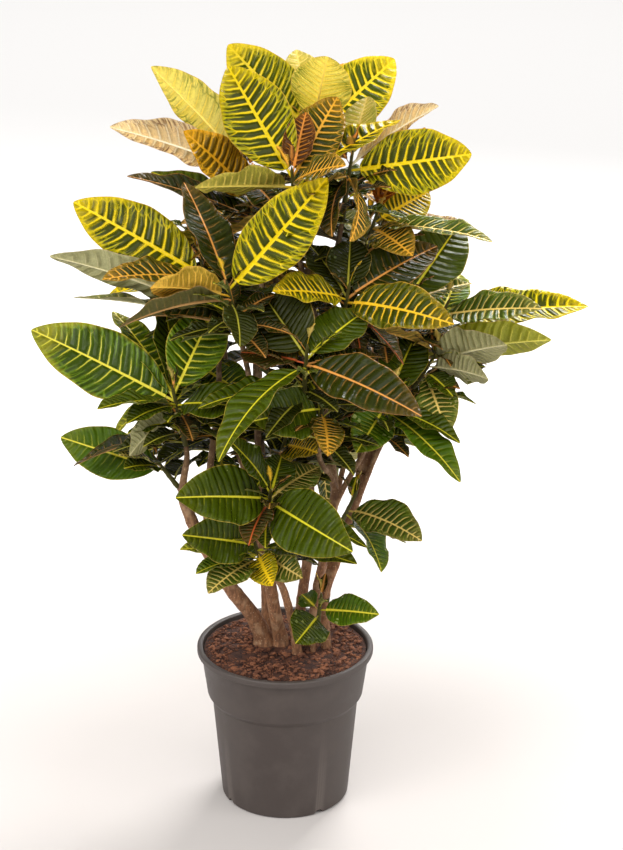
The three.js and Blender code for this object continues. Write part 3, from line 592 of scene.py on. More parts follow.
class Recipe:
    """A material's node tree while it is being put together."""

    def __init__(self, name: str) -> None:
        """Starts an empty material.

        Args:
            name: Its name.
        """
        self.material = bpy.data.materials.new(name)
        self.material.use_nodes = True
        self.material.node_tree.nodes.clear()

    def add(self, kind: str, inputs: dict | tuple = (), out: int | str = 0,
            **settings: object) -> Socket | None:
        """Adds a node with its settings and links.

        Args:
            kind: Node type without its "ShaderNode" prefix, with an operation after a colon.
            inputs: Value or incoming socket for each input, in order, or by name or number.
            out: Output to hand back, by name or number.
            settings: Properties of the node.

        Returns:
            The chosen output socket, or None for a node without outputs.
        """
        tree = self.material.node_tree
        kind, _, operation = kind.partition(":")
        node = tree.nodes.new("ShaderNode" + kind)
        if operation:
            node.operation = operation
        for key, value in settings.items():
            setattr(node, key, value)
        given = inputs if isinstance(inputs, dict) else dict(enumerate(inputs))
        for key, value in given.items():
            if isinstance(value, Socket):
                tree.links.new(value, node.inputs[key])
            else:
                node.inputs[key].default_value = value
        return node.outputs[out] if len(node.outputs) else None

    def finish(self, shader: Socket) -> bpy.types.Material:
        """Links the shader to the surface output and hands back the material."""
        self.add("OutputMaterial", {"Surface": shader})
        return self.material


@dataclass(frozen=True)
class LeafFinish:
    """Fresh croton leaf: a thick blade under a waxy cuticle, with plastids yellow along its veins.

    The cuticle gives soft highlights that break up where the blade swells between its laterals;
    the underside is duller. Lengths are in millimetres, and scales are per metre: wander about
    18 mm, blotches 12 mm and fine mottle 2.4 mm. u is 0 at the rib and 1 at the margin, v 0 at the
    base and 1 at the tip.

    slope is how far a lateral climbs for each millimetre outwards and curl how much further it has
    bent at the margin, in spacings. uneven is how far it strays from its even place in spacings,
    wobble how far it wanders on its way and short how much shorter the shortest are. It is narrow
    times its width, and flare more beside the rib. From the u of fork_at to fork_end it splits into
    two arches of fork_width times its width, bent by the power arch. The rib loses the share
    rib_taper of its width on its way to the tip. pucker is how high the blade swells, sheen_level
    the strength of its highlights and wear how unevenly it shines, over wear_level. The margin is a
    warmer line where u runs through margin_at, margin_level strong. A net of fine veins comes in
    where u runs through net_at, and its lines fade over net_line.
    """

    slope: float = 0.30
    curl: float = 0.35
    uneven: float = 0.24
    wobble: float = 4.5
    short: float = 0.45
    narrow: float = 0.75
    flare: float = 1.1
    fork_at: float = 0.70
    fork_end: float = 0.97
    fork_width: float = 0.55
    arch: float = 0.6
    rib_taper: float = 0.7
    pucker: float = 1.9
    gloss: float = 0.2
    under_gloss: float = 0.5
    sheen_level: float = 0.2
    wear: float = 0.3
    wear_level: float = 0.22
    ior: float = 1.45
    wander_scale: float = 55.0
    blotch_scale: float = 85.0
    fine_scale: float = 420.0
    margin: str = "#d99a58"
    margin_at: tuple[float, float] = (0.965, 0.985)
    margin_level: float = 0.55
    net_scale: float = 1.25
    net_line: tuple[float, float] = (0.01, 0.09)
    net_at: tuple[float, float] = (0.4, 0.85)

    def material(self) -> bpy.types.Material:
        """Builds the leaf material from the maps and attributes that each blade carries.

        Returns:
            The material.
        """
        r = Recipe("fresh_croton_leaf")
        grid = self.grid(r)
        vein = self.veins(r, grid)
        lime = self.patches(r, grid)
        colour = self.tint(r, grid, vein, lime)
        normal = self.relief(r, grid)
        rough = r.add("MapRange", (grid["side"], -1.0, 1.0, self.under_gloss, self.gloss))
        worn = r.add("Math:MULTIPLY_ADD", (grid["grain"], 0.5, grid["blotch"]))
        rough = r.add("Math:MULTIPLY_ADD", (worn, self.wear, rough))
        rough = r.add("Math:SUBTRACT", (rough, self.wear_level))
        body = r.add("BsdfPrincipled", {
            "Base Color": colour, "Roughness": rough, "IOR": self.ior, "Normal": normal,
            "Specular IOR Level": self.sheen_level})
        through = r.add("BsdfTranslucent", {"Color": colour, "Normal": normal})
        glow = r.add("Attribute", out="Fac", attribute_name="leaf_glow")
        return r.finish(r.add("MixShader", (glow, body, through)))

    def carried(self, r: Recipe) -> Sockets:
        """Reads the UV maps, of two values, and the attributes, of three, that each blade carries.

        Args:
            r: Recipe that the nodes go into.

        Returns:
            Sockets by name: across and along in decimetres, half and v as shares, and the rest as
            the blade's look gives them.
        """
        names = {
            "leaf_mm": ("across", "along"), "leaf_place": ("half", "v"),
            "leaf_lines": ("lateral", "rib", "spacing"), "leaf_zones": ("flush", "mottle", "reach"),
            "leaf_kind": ("side", "seed", "shown"),
        }
        found = {}
        for source, parts in names.items():
            if len(parts) == 2:
                vector = r.add("UVMap", uv_map=source)
            else:
                vector = r.add("Attribute", out="Vector", attribute_name=source)
            found.update(zip(parts, r.add("SeparateXYZ", (vector,)).node.outputs))
        return found

    def grid(self, r: Recipe) -> Sockets:
        """Works out where a point lies on its leaf and among its laterals.

        Laterals are counted by climb = (along - slope * away + drift) / spacing - curl * u^3, plus
        one half on the right of the rib; a lateral lies where its fraction is about one half.

        Args:
            r: Recipe that the nodes go into.

        Returns:
            Sockets by name.
        """
        own = self.carried(r)
        spacing, seed = own["spacing"], own["seed"]
        point = r.add("TexCoord", out="Object")
        across = r.add("Math:MULTIPLY", (own["across"], DECIMETRE))
        along = r.add("Math:MULTIPLY", (own["along"], DECIMETRE))
        away = r.add("Math:ABSOLUTE", (across,))
        right = r.add("Math:GREATER_THAN", (across, 0.0))
        u = r.add("Math:MULTIPLY_ADD", (own["half"], 2.0, -1.0))
        u = r.add("Math:ABSOLUTE", (u,))
        wander = r.add("TexNoise", {"Vector": point, "Scale": self.wander_scale, "Detail": 2.0})
        climb = r.add("Math:MULTIPLY_ADD", (away, -self.slope, along))
        climb = r.add("Math:MULTIPLY_ADD", (wander, self.wobble, climb))
        climb = r.add("Math:SUBTRACT", (climb, 0.5 * self.wobble))
        climb = r.add("Math:DIVIDE", (climb, spacing))
        cube = r.add("Math:POWER", (u, 3.0))
        climb = r.add("Math:MULTIPLY_ADD", (cube, -self.curl, climb))
        climb = r.add("Math:MULTIPLY_ADD", (right, 0.5, climb))
        number = r.add("Math:FLOOR", (climb,))
        place_of = r.add("CombineXYZ", (number, right, seed))
        chance = r.add("TexWhiteNoise", {"Vector": place_of}, noise_dimensions="3D")
        shift = r.add("Math:MULTIPLY_ADD", (chance, self.uneven, -0.5 - 0.5 * self.uneven))
        cell = r.add("Math:FRACT", (climb,))
        cell = r.add("Math:ADD", (cell, shift))
        cell = r.add("Math:ABSOLUTE", (cell,))
        gap = r.add("Math:MULTIPLY", (cell, spacing))
        strand = r.add("Math:MULTIPLY", (climb, 3.0))
        drawn = r.add("Math:MULTIPLY", (away, 0.06))
        strand = r.add("CombineXYZ", (strand, drawn, seed))
        return own | {
            "away": away, "u": u, "climb": climb, "chance": chance, "cell": cell, "gap": gap,
            "grain": r.add("TexNoise", {"Vector": strand, "Scale": 1.0, "Detail": 3.0, "Roughness": 0.6}),
            "blotch": r.add("TexNoise", {"Vector": point, "Scale": self.blotch_scale, "Detail": 4.0}),
            "fine": r.add("TexNoise", {"Vector": point, "Scale": self.fine_scale, "Detail": 3.0}),
        }

    def veins(self, r: Recipe, grid: Sockets) -> Socket:
        """Draws the rib and the laterals, which taper outwards, fork into arches and fade.

        A lateral is narrow + flare (1 - u)^3 times its width; past fork_at each half of its fork is
        half a spacing times ((u - fork_at) / (fork_end - fork_at))^arch from the middle.

        Args:
            r: Recipe that the nodes go into.
            grid: Sockets of the leaf's own measures.

        Returns:
            Share of vein colour.
        """
        u, gap, lateral = grid["u"], grid["gap"], grid["lateral"]
        inner = r.add("Math:SUBTRACT", (1.0, u))
        swell = r.add("Math:POWER", (inner, 3.0))
        swell = r.add("Math:MULTIPLY_ADD", (swell, self.flare, self.narrow))
        wide = r.add("Math:MULTIPLY", (lateral, swell))
        past = r.add("Math:SUBTRACT", (gap, wide))
        straight = r.add("MapRange", (past, -0.1, 0.55, 1.0, 0.0), interpolation_type="SMOOTHSTEP")
        whole = r.add("MapRange", (u, self.fork_at, self.fork_at + 0.12, 1.0, 0.0))
        straight = r.add("Math:MULTIPLY", (straight, whole))
        split = r.add("MapRange", (u, self.fork_at, self.fork_end, 0.0, 1.0))
        split = r.add("Math:POWER", (split, self.arch))
        split = r.add("Math:MULTIPLY", (split, 0.5))
        split = r.add("Math:MULTIPLY", (split, grid["spacing"]))
        fork = r.add("Math:SUBTRACT", (gap, split))
        fork = r.add("Math:ABSOLUTE", (fork,))
        thin = r.add("Math:MULTIPLY", (lateral, self.fork_width))
        fork = r.add("Math:SUBTRACT", (fork, thin))
        fork = r.add("MapRange", (fork, -0.1, 0.6, 0.8, 0.0))
        laterals = r.add("Math:MAXIMUM", (straight, fork))
        reach = r.add("Math:MULTIPLY_ADD", (grid["chance"], self.short, 1.0 - self.short))
        reach = r.add("Math:MULTIPLY", (reach, grid["reach"]))
        beyond = r.add("Math:SUBTRACT", (u, reach))
        fade = r.add("MapRange", (beyond, -0.2, 0.04, 1.0, 0.0))
        laterals = r.add("Math:MULTIPLY", (laterals, fade))
        patchy = r.add("Math:MULTIPLY_ADD", (grid["shown"], 0.8, grid["blotch"]))
        patchy = r.add("MapRange", (patchy, 0.6, 0.9, 0.1, 1.0))
        patchy = r.add("Math:MULTIPLY", (patchy, grid["shown"]))
        laterals = r.add("Math:MULTIPLY", (laterals, patchy))
        taper = r.add("Math:MULTIPLY_ADD", (grid["v"], -self.rib_taper, 1.0))
        rib_wide = r.add("Math:MULTIPLY", (grid["rib"], taper))
        past_rib = r.add("Math:SUBTRACT", (grid["away"], rib_wide))
        rib = r.add("MapRange", (past_rib, -0.3, 0.6, 1.0, 0.0), interpolation_type="SMOOTHSTEP")
        return r.add("Math:MAXIMUM", (laterals, rib))

    def patches(self, r: Recipe, grid: Sockets) -> Socket:
        """Draws the lighter green beside the veins, in streaks between them and in a fine net.

        The net runs between cells that are about one spacing high and two wide; streaks run inward
        from the margin, halfway between two laterals.

        Args:
            r: Recipe that the nodes go into.
            grid: Sockets of the leaf's own measures.

        Returns:
            Share of the lighter colour.
        """
        u, cell, spacing = grid["u"], grid["cell"], grid["spacing"]
        beside = r.add("MapRange", (grid["gap"], 0.6, 3.2, 0.75, 0.0))
        outward = r.add("MapRange", (u, 0.1, 0.95, 0.45, 1.0))
        beside = r.add("Math:MULTIPLY", (beside, outward))
        between = r.add("Math:SUBTRACT", (0.5, cell))
        between = r.add("Math:MULTIPLY", (between, spacing))
        streak = r.add("MapRange", (between, 0.3, 1.2, 1.0, 0.0))
        start = r.add("Math:MULTIPLY_ADD", (grid["chance"], 0.75, 0.25))
        start = r.add("Math:SUBTRACT", (u, start))
        start = r.add("MapRange", (start, -0.12, 0.1, 0.0, 0.9))
        streak = r.add("Math:MULTIPLY", (streak, start))
        wide = r.add("Math:DIVIDE", (grid["away"], spacing))
        wide = r.add("Math:MULTIPLY_ADD", (wide, 0.5, grid["seed"]))
        across = r.add("CombineXYZ", (grid["climb"], wide))
        net = r.add("TexVoronoi", {"Vector": across, "Scale": self.net_scale, "Randomness": 0.9},
                    voronoi_dimensions="2D", feature="DISTANCE_TO_EDGE")
        net = r.add("MapRange", (net, *self.net_line, 1.0, 0.0))
        outer = r.add("MapRange", (u, *self.net_at, 0.0, 1.0))
        net = r.add("Math:MULTIPLY", (net, outer))
        lime = r.add("Math:MAXIMUM", (streak, net))
        lime = r.add("Math:MAXIMUM", (lime, beside))
        return r.add("Math:MULTIPLY", (lime, grid["mottle"]))

    def tint(self, r: Recipe, grid: Sockets, vein: Socket, lime: Socket) -> Socket:
        """Colours the leaf: blade, lighter patches, yellow from tip and margin inward, then veins.

        Args:
            r: Recipe that the nodes go into.
            grid: Sockets of the leaf's own measures.
            vein: Share of vein colour.
            lime: Share of the lighter colour.

        Returns:
            The colour.
        """
        u, v = grid["u"], grid["v"]
        tip = r.add("MapRange", (v, 0.55, 1.0, 0.0, 1.0))
        rim = r.add("MapRange", (u, 0.7, 1.0, 0.0, 0.6))
        yellow = r.add("Math:ADD", (tip, rim))
        yellow = r.add("Math:MULTIPLY_ADD", (grid["grain"], 0.9, yellow))
        yellow = r.add("MapRange", (yellow, 0.85, 1.3, 0.0, 1.0))
        yellow = r.add("Math:MULTIPLY", (yellow, grid["flush"]))
        edge = r.add("MapRange", (u, *self.margin_at, 0.0, self.margin_level))
        blade = r.add("Attribute", out="Color", attribute_name="blade_colour")
        halo = r.add("Attribute", out="Color", attribute_name="halo_colour")
        line = r.add("Attribute", out="Color", attribute_name="vein_colour")
        colour = r.add("Mix", {0: lime, 6: blade, 7: halo}, **COLOUR_MIX)
        colour = r.add("Mix", {0: yellow, 6: colour, 7: line}, **COLOUR_MIX)
        rimmed = r.add("Mix", {0: 0.45, 6: line, 7: linear(self.margin)}, **COLOUR_MIX)
        colour = r.add("Mix", {0: edge, 6: colour, 7: rimmed}, **COLOUR_MIX)
        colour = r.add("Mix", {0: vein, 6: colour, 7: line}, **COLOUR_MIX)
        shade = r.add("MapRange", (grid["fine"], 0.3, 0.7, 0.86, 1.1))
        return r.add("HueSaturation", {"Color": colour, "Value": shade})

    def relief(self, r: Recipe, grid: Sockets) -> Socket:
        """Raises the blade between its laterals on the upper face and sinks it on the underside.

        Args:
            r: Recipe that the nodes go into.
            grid: Sockets of the leaf's own measures.

        Returns:
            The bent normal.
        """
        raised = r.add("MapRange", (grid["cell"], 0.0, 0.42, 0.0, 1.0), interpolation_type="SMOOTHSTEP")
        rib = r.add("MapRange", (grid["away"], 0.5, 5.0, 0.0, 1.0), interpolation_type="SMOOTHSTEP")
        height = r.add("Math:MULTIPLY", (raised, rib))
        height = r.add("Math:MULTIPLY", (height, grid["side"]))
        height = r.add("Math:MULTIPLY_ADD", (grid["fine"], 0.10, height))
        height = r.add("Math:MULTIPLY_ADD", (grid["blotch"], 0.8, height))
        return r.add("Bump", {"Height": height, "Distance": self.pucker * MM, "Strength": 1.0})


@dataclass(frozen=True)
class BarkFinish:
    """Smooth croton bark: thin warm brown cork, greener on young wood.

    Fine lengthwise cracks and pale lenticels break up a dull surface. Scales are per metre: cracks
    about 3 mm apart, drawn out along the stem, lenticels about 5 mm and patches 17 mm. ages holds the
    heights in metres between which the bark turns from old to young, and relief the depth of its
    cracks in millimetres.
    """

    old: str = "#a0704c"
    deep: str = "#5e3c28"
    young: str = "#6e5c38"
    pale: str = "#c2a07c"
    roughness: float = 0.78
    ages: tuple[float, float] = (0.36, 0.56)
    crack_scale: float = 330.0
    crack_draw: float = 0.22
    patch_scale: float = 60.0
    pore_scale: float = 210.0
    relief: float = 1.2

    def material(self) -> bpy.types.Material:
        """Builds the bark material, older and redder near the soil.

        Returns:
            The material.
        """
        r = Recipe("thin_croton_bark")
        point = r.add("TexCoord", out="Object")
        height = r.add("SeparateXYZ", (point,), out=2)
        stretched = r.add("Mapping", {"Vector": point, "Scale": (1.0, 1.0, self.crack_draw)})
        cracks = r.add("TexNoise", {
            "Vector": stretched, "Scale": self.crack_scale, "Detail": 5.0, "Roughness": 0.65})
        patches = r.add("TexNoise", {"Vector": point, "Scale": self.patch_scale, "Detail": 4.0})
        pores = r.add("TexVoronoi", {"Vector": point, "Scale": self.pore_scale, "Randomness": 1.0})
        age = r.add("MapRange", (height, *self.ages, 0.0, 1.0))
        young = r.add("Mix", {0: age, 6: linear(self.old), 7: linear(self.young)}, **COLOUR_MIX)
        dark = r.add("MapRange", (cracks, 0.42, 0.62, 0.75, 0.0))
        colour = r.add("Mix", {0: dark, 6: young, 7: linear(self.deep)}, **COLOUR_MIX)
        light = r.add("MapRange", (patches, 0.52, 0.68, 0.0, 0.45))
        colour = r.add("Mix", {0: light, 6: colour, 7: linear(self.pale)}, **COLOUR_MIX)
        pore = r.add("MapRange", (pores, 0.12, 0.22, 0.7, 0.0))
        colour = r.add("Mix", {0: pore, 6: colour, 7: linear(self.pale)}, **COLOUR_MIX)
        raised = r.add("Math:MULTIPLY_ADD", (pore, 0.5, cracks))
        normal = r.add("Bump", {"Height": raised, "Distance": self.relief * MM, "Strength": 0.9})
        return r.finish(r.add("BsdfPrincipled", {
            "Base Color": colour, "Roughness": self.roughness, "Normal": normal}))


@dataclass(frozen=True)
class SoilFinish:
    """Damp potting mix: composted bark and peat, matt and crumbly, in several browns.

    Scales are per metre: blotches of the size of a bark chip, about 7 mm, and crumbs of 1.4 mm.
    relief is the height of the crumbs in millimetres.
    """

    dark: str
    light: str
    pale: str
    roughness: float = 0.92
    chip_scale: float = 150.0
    crumb_scale: float = 700.0
    relief: float = 1.5

    def material(self, name: str) -> bpy.types.Material:
        """Builds the soil material.

        Args:
            name: Name of the material.

        Returns:
            The material.
        """
        r = Recipe(name)
        point = r.add("TexCoord", out="Object")
        chips = r.add("TexVoronoi", {"Vector": point, "Scale": self.chip_scale}, out="Color")
        tint = r.add("SeparateXYZ", (chips,))
        crumbs = r.add("TexNoise", {
            "Vector": point, "Scale": self.crumb_scale, "Detail": 4.0, "Roughness": 0.7})
        colour = r.add("Mix", {0: tint, 6: linear(self.dark), 7: linear(self.light)}, **COLOUR_MIX)
        bright = r.add("MapRange", (crumbs, 0.55, 0.75, 0.0, 0.55))
        colour = r.add("Mix", {0: bright, 6: colour, 7: linear(self.pale)}, **COLOUR_MIX)
        normal = r.add("Bump", {"Height": crumbs, "Distance": self.relief * MM, "Strength": 0.8})
        return r.finish(r.add("BsdfPrincipled", {
            "Base Color": colour, "Roughness": self.roughness, "Normal": normal}))


@dataclass(frozen=True)
class PlasticFinish:
    """Injection-moulded polypropylene with a spark-eroded matt grain, taupe, scuffed at its edges.

    The grain spreads the highlights, and a thin film of dust lightens them in places. Scales are
    per metre: a grain of about 1 mm, coarser than real so that it shows, and dust of about 45 mm.
    relief is the depth of the grain in millimetres, and spread how far the roughness strays below
    and above its level.
    """

    colour: str = "#403733"
    scuff: str = "#5f5650"
    roughness: float = 0.55
    spread: tuple[float, float] = (0.07, 0.1)
    ior: float = 1.49
    grain_scale: float = 900.0
    dust_scale: float = 22.0
    relief: float = 0.15

    def material(self) -> bpy.types.Material:
        """Builds the plastic.

        Returns:
            The material.
        """
        r = Recipe("moulded_matt_polypropylene")
        point = r.add("TexCoord", out="Object")
        grain = r.add("TexNoise", {"Vector": point, "Scale": self.grain_scale, "Detail": 2.0})
        dust = r.add("TexNoise", {
            "Vector": point, "Scale": self.dust_scale, "Detail": 5.0, "Roughness": 0.65})
        edge = r.add("NewGeometry", out="Pointiness")
        worn = r.add("MapRange", (edge, 0.505, 0.56, 0.0, 0.8))
        film = r.add("MapRange", (dust, 0.45, 0.75, 0.0, 0.35))
        pale = r.add("Math:MAXIMUM", (worn, film))
        colour = r.add("Mix", {0: pale, 6: linear(self.colour), 7: linear(self.scuff)}, **COLOUR_MIX)
        low, high = self.roughness - self.spread[0], self.roughness + self.spread[1]
        rough = r.add("MapRange", (dust, 0.3, 0.7, low, high))
        normal = r.add("Bump", {"Height": grain, "Distance": self.relief * MM, "Strength": 0.6})
        return r.finish(r.add("BsdfPrincipled", {
            "Base Color": colour, "Roughness": rough, "IOR": self.ior, "Normal": normal}))


@dataclass(frozen=True)
class FloorFinish:
    """Matt studio paper whose colour carries painted light: darker and warmer beside the pot as painted
    shade, and paler away from it as painted light of the back lamps.

    ring holds the distances from the pot's axis in metres between which the painted shade gives way to
    the painted light.
    """

    # near is painted shade beside the pot; far is the paper painted paler, as if lit by the back lamps
    near: str = "#c1bbb7"
    far: str = "#f9f7f5"
    ring: tuple[float, float] = (0.3, 2.6)
    roughness: float = 0.95

    def material(self) -> bpy.types.Material:
        """Builds the paper.

        Returns:
            The material.
        """
        r = Recipe("matt_studio_paper")
        away = r.add("VectorMath:LENGTH", (r.add("TexCoord", out="Object"),), out=1)
        # Painted shade near the pot fading to painted light with distance from the pot's axis
        share = r.add("MapRange", (away, *self.ring, 0.0, 1.0))
        colour = r.add("Mix", {0: share, 6: linear(self.near), 7: linear(self.far)}, **COLOUR_MIX)
        return r.finish(r.add("BsdfPrincipled", {"Base Color": colour, "Roughness": self.roughness}))


@dataclass(frozen=True)
class SoftBox:
    """A square soft box in metres and watts, and the point that it faces."""

    name: str
    at: tuple[float, float, float]
    side: float
    power: float
    target: tuple[float, float, float] = (0.0, 0.0, 0.6)


@dataclass
class Studio:
    """White floor, soft light and the camera at the photograph's place, in metres and radians."""

    eye: tuple[float, float, float] = (0.0, -2.378, 1.376)
    pitch: float = 0.339
    lens: float = 81.5
    sensor: float = 36.0
    shift: float = 0.031
    floor_half: float = 60.0
    sky: float = 0.42
    sun: float = 2.25
    sun_way: tuple[float, float, float] = (0.2, 0.8, -1.0)
    sun_spread: float = math.radians(70)
    boxes: tuple[SoftBox, ...] = (
        SoftBox("left_softbox", (-2.2, -1.6, 1.9), 1.3, 32.0),
        SoftBox("right_softbox", (2.3, -0.9, 1.7), 1.3, 24.0),
        SoftBox("back_softbox", (0.9, 2.0, 2.6), 1.4, 120.0),
        SoftBox("far_softbox", (0.0, 7.5, 4.5), 3.0, 16.0, (0.0, 7.2, 0.0)),
    )

    def build(self) -> None:
        """Makes the camera, the floor, the surrounding light and the lamps."""
        self.set_camera()
        self.lay_floor()
        self.light_sky()
        self.shine()
        for box in self.boxes:
            self.hang(box)
        bpy.context.scene.view_settings.view_transform = "Standard"

    def set_camera(self) -> None:
        """Stands the camera at the photograph's place and viewing angle."""
        camera = bpy.data.cameras.new("camera")
        camera.lens = self.lens
        camera.sensor_fit = "VERTICAL"
        camera.sensor_height = self.sensor
        camera.shift_x = self.shift
        holder = stand("camera", camera)
        holder.location = self.eye
        holder.rotation_euler = (math.pi / 2 - self.pitch, 0.0, 0.0)
        bpy.context.scene.camera = holder

    def lay_floor(self) -> None:
        """Lays a square of paper at the height of the pot's base."""
        half = self.floor_half
        mesh = bpy.data.meshes.new("floor")
        mesh.from_pydata([(-half, -half, 0), (half, -half, 0), (half, half, 0), (-half, half, 0)], [],
                         [(0, 1, 2, 3)])
        mesh.materials.append(FloorFinish().material())
        stand("floor", mesh)

    def light_sky(self) -> None:
        """Surrounds the scene with even white light."""
        world = bpy.data.worlds.new("studio")
        world.use_nodes = True
        background = world.node_tree.nodes["Background"]
        background.inputs["Color"].default_value = (1.0, 1.0, 1.0, 1.0)
        background.inputs["Strength"].default_value = self.sky
        bpy.context.scene.world = world

    def shine(self) -> None:
        """Sends broad light down from in front, left and above, as a large overhead diffuser does."""
        light = bpy.data.lights.new("overhead", "SUN")
        light.energy = self.sun
        light.angle = self.sun_spread
        stand("overhead", light).rotation_euler = self.facing(Vector(self.sun_way))

    def hang(self, box: SoftBox) -> None:
        """Hangs a soft box.

        Args:
            box: The box.
        """
        light = bpy.data.lights.new(box.name, "AREA")
        light.shape = "SQUARE"
        light.size = box.side
        light.energy = box.power
        holder = stand(box.name, light)
        holder.location = box.at
        holder.rotation_euler = self.facing(Vector(box.target) - Vector(box.at))

    def facing(self, way: Vector) -> Euler:
        """Turn of a lamp that shines along a vector."""
        return way.to_track_quat("-Z", "Y").to_euler()


@dataclass
class Pot:
    """Round nursery pot: tapered wall, step, collar and rolled lip, holes and notches in its foot.

    Lengths are in millimetres. core is the radius that the base starts from, foot the height and
    width of its lower corner, brow the height and width of the lip's upper and lower corners and
    nose how far the lip stands out at its underside less than at its middle. corner is how far
    from a corner its rounding starts, at most the share corner_share of the way to the next, in
    bends points. A cutter is a round rod of rod_sides that reaches through the base.
    """

    height: float = 222.0
    rim: float = 120.0
    base: float = 87.5
    wall: float = 2.2
    lip_drop: float = 9.0
    overhang: float = 5.5
    collar_bottom: float = 154.0
    step_bottom: float = 146.0
    step_inset: float = 20.0
    step_depth: float = 6.5
    sides: int = 144
    drains: int = 6
    drain_radius: float = 6.0
    drain_circle: float = 58.0
    notches: int = 4
    notch_radius: float = 7.0
    notch_turn: float = 0.35
    core: float = 2.0
    foot: float = 2.5
    brow: float = 1.5
    nose: float = 0.5
    corner: float = 1.4
    corner_share: float = 0.35
    bends: int = 5
    crease: float = math.radians(38)
    rod_sides: int = 24
    drain_depth: float = 20.0
    notch_depth: float = 16.0

    def profile(self) -> np.ndarray:
        """Lists the corners of the shell from the middle of its base, over the lip, to its floor.

        Returns:
            Radius and height of each corner.
        """
        step = self.rim - self.step_inset
        ledge = step + self.step_depth
        collar = self.rim - self.overhang
        top = self.height - self.lip_drop
        outside = (
            (self.core, 0.0), (self.base - self.foot, 0.0), (self.base, self.foot),
            (step, self.step_bottom), (ledge, self.collar_bottom), (collar, top),
        )
        lip = (
            (self.rim - self.nose, top), (self.rim, top + self.brow),
            (self.rim, self.height - self.brow), (self.rim - self.brow, self.height),
            (collar, self.height),
        )
        inside = (
            (collar - self.wall, self.height - 1.0), (ledge - self.wall, self.collar_bottom + 1.0),
            (step - self.wall, self.step_bottom + 1.0), (self.base - self.wall - 0.5, 2.0 * self.wall),
            (self.core, 2.0 * self.wall),
        )
        return np.array(outside + lip + inside)

    def rounded(self, profile: np.ndarray) -> np.ndarray:
        """Rounds each inner corner of a profile.

        A corner c between neighbours a and b becomes the parabola from c + r(a-c)/|a-c| to
        c + r(b-c)/|b-c| that has c as its control point; r is the corner size or less.

        Args:
            profile: Radius and height of each corner.

        Returns:
            The profile with bends points for each rounded corner.
        """
        before = profile[:-2] - profile[1:-1]
        after = profile[2:] - profile[1:-1]
        near = np.linalg.norm(before, axis=1, keepdims=True)
        far = np.linalg.norm(after, axis=1, keepdims=True)
        reach = np.minimum(self.corner, self.corner_share * np.minimum(near, far))
        start = before / near * reach
        end = after / far * reach
        t = np.linspace(0.0, 1.0, self.bends)[None, :, None]
        arcs = profile[1:-1, None] + (1 - t) ** 2 * start[:, None] + t ** 2 * end[:, None]
        return np.concatenate((profile[:1], arcs.reshape(-1, 2), profile[-1:]))

    def cutter(self, name: str, radius: float, length: float, at: tuple[float, float],
               turn: float | None = None) -> bpy.types.Object:
        """Makes a round cutter, upright or lying outwards across the foot.

        Args:
            name: Name of the cutter.
            radius: Its radius.
            length: Its length.
            at: Where its middle is on the base.
            turn: Direction that it lies in, in radians, or None where it stands.

        Returns:
            The cutter.
        """
        angle = around(self.rod_sides)
        first, second = radius * np.cos(angle), radius * np.sin(angle)
        ends = np.array((-0.5, 0.5))[:, None] * length
        if turn is None:
            rings = np.stack(np.broadcast_arrays(at[0] + first, at[1] + second, ends), axis=-1)
        else:
            out = np.array((math.cos(turn), math.sin(turn), 0.0))
            aside = np.array((-math.sin(turn), math.cos(turn), 0.0))
            rings = (np.array((*at, 0.0)) + ends[..., None] * out + first[None, :, None] * aside
                     + second[None, :, None] * np.array((0.0, 0.0, 1.0)))
        surface = Surface()
        surface.tube(rings)
        return surface.build(name, bpy.data.materials[0])

    def cutters(self) -> list[bpy.types.Object]:
        """Makes the cutters of all drain holes and foot notches.

        Returns:
            The cutters.
        """
        made = []
        for i in range(self.drains):
            turn = 2 * math.pi * i / self.drains
            at = (self.drain_circle * math.cos(turn), self.drain_circle * math.sin(turn))
            made.append(self.cutter(f"drain_{i}", self.drain_radius, self.drain_depth, at))
        for i in range(self.notches):
            turn = 2 * math.pi * (i + self.notch_turn) / self.notches + math.pi / 2
            at = (self.base * math.cos(turn), self.base * math.sin(turn))
            made.append(self.cutter(f"notch_{i}", self.notch_radius, self.notch_depth, at, turn))
        return made

    def build(self) -> None:
        """Turns the profile round the axis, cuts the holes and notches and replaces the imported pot."""
        profile = self.rounded(self.profile())
        angle = around(self.sides)[None, :]
        radius, height = profile[:, :1], profile[:, 1:]
        rings = np.stack(np.broadcast_arrays(radius * np.cos(angle), radius * np.sin(angle), height), -1)
        surface = Surface()
        surface.tube(rings)
        pot = surface.build("pot_shell", PlasticFinish().material())
        cutters = self.cutters()
        for cutter in cutters:
            cut = pot.modifiers.new(cutter.name, "BOOLEAN")
            cut.operation = "DIFFERENCE"
            cut.solver = "EXACT"
            cut.object = cutter
        settle(pot)
        for cutter in cutters:
            bpy.data.objects.remove(cutter)
        pot.data.set_sharp_from_angle(angle=self.crease)
        place(pot, "pot_plastic", "pot")


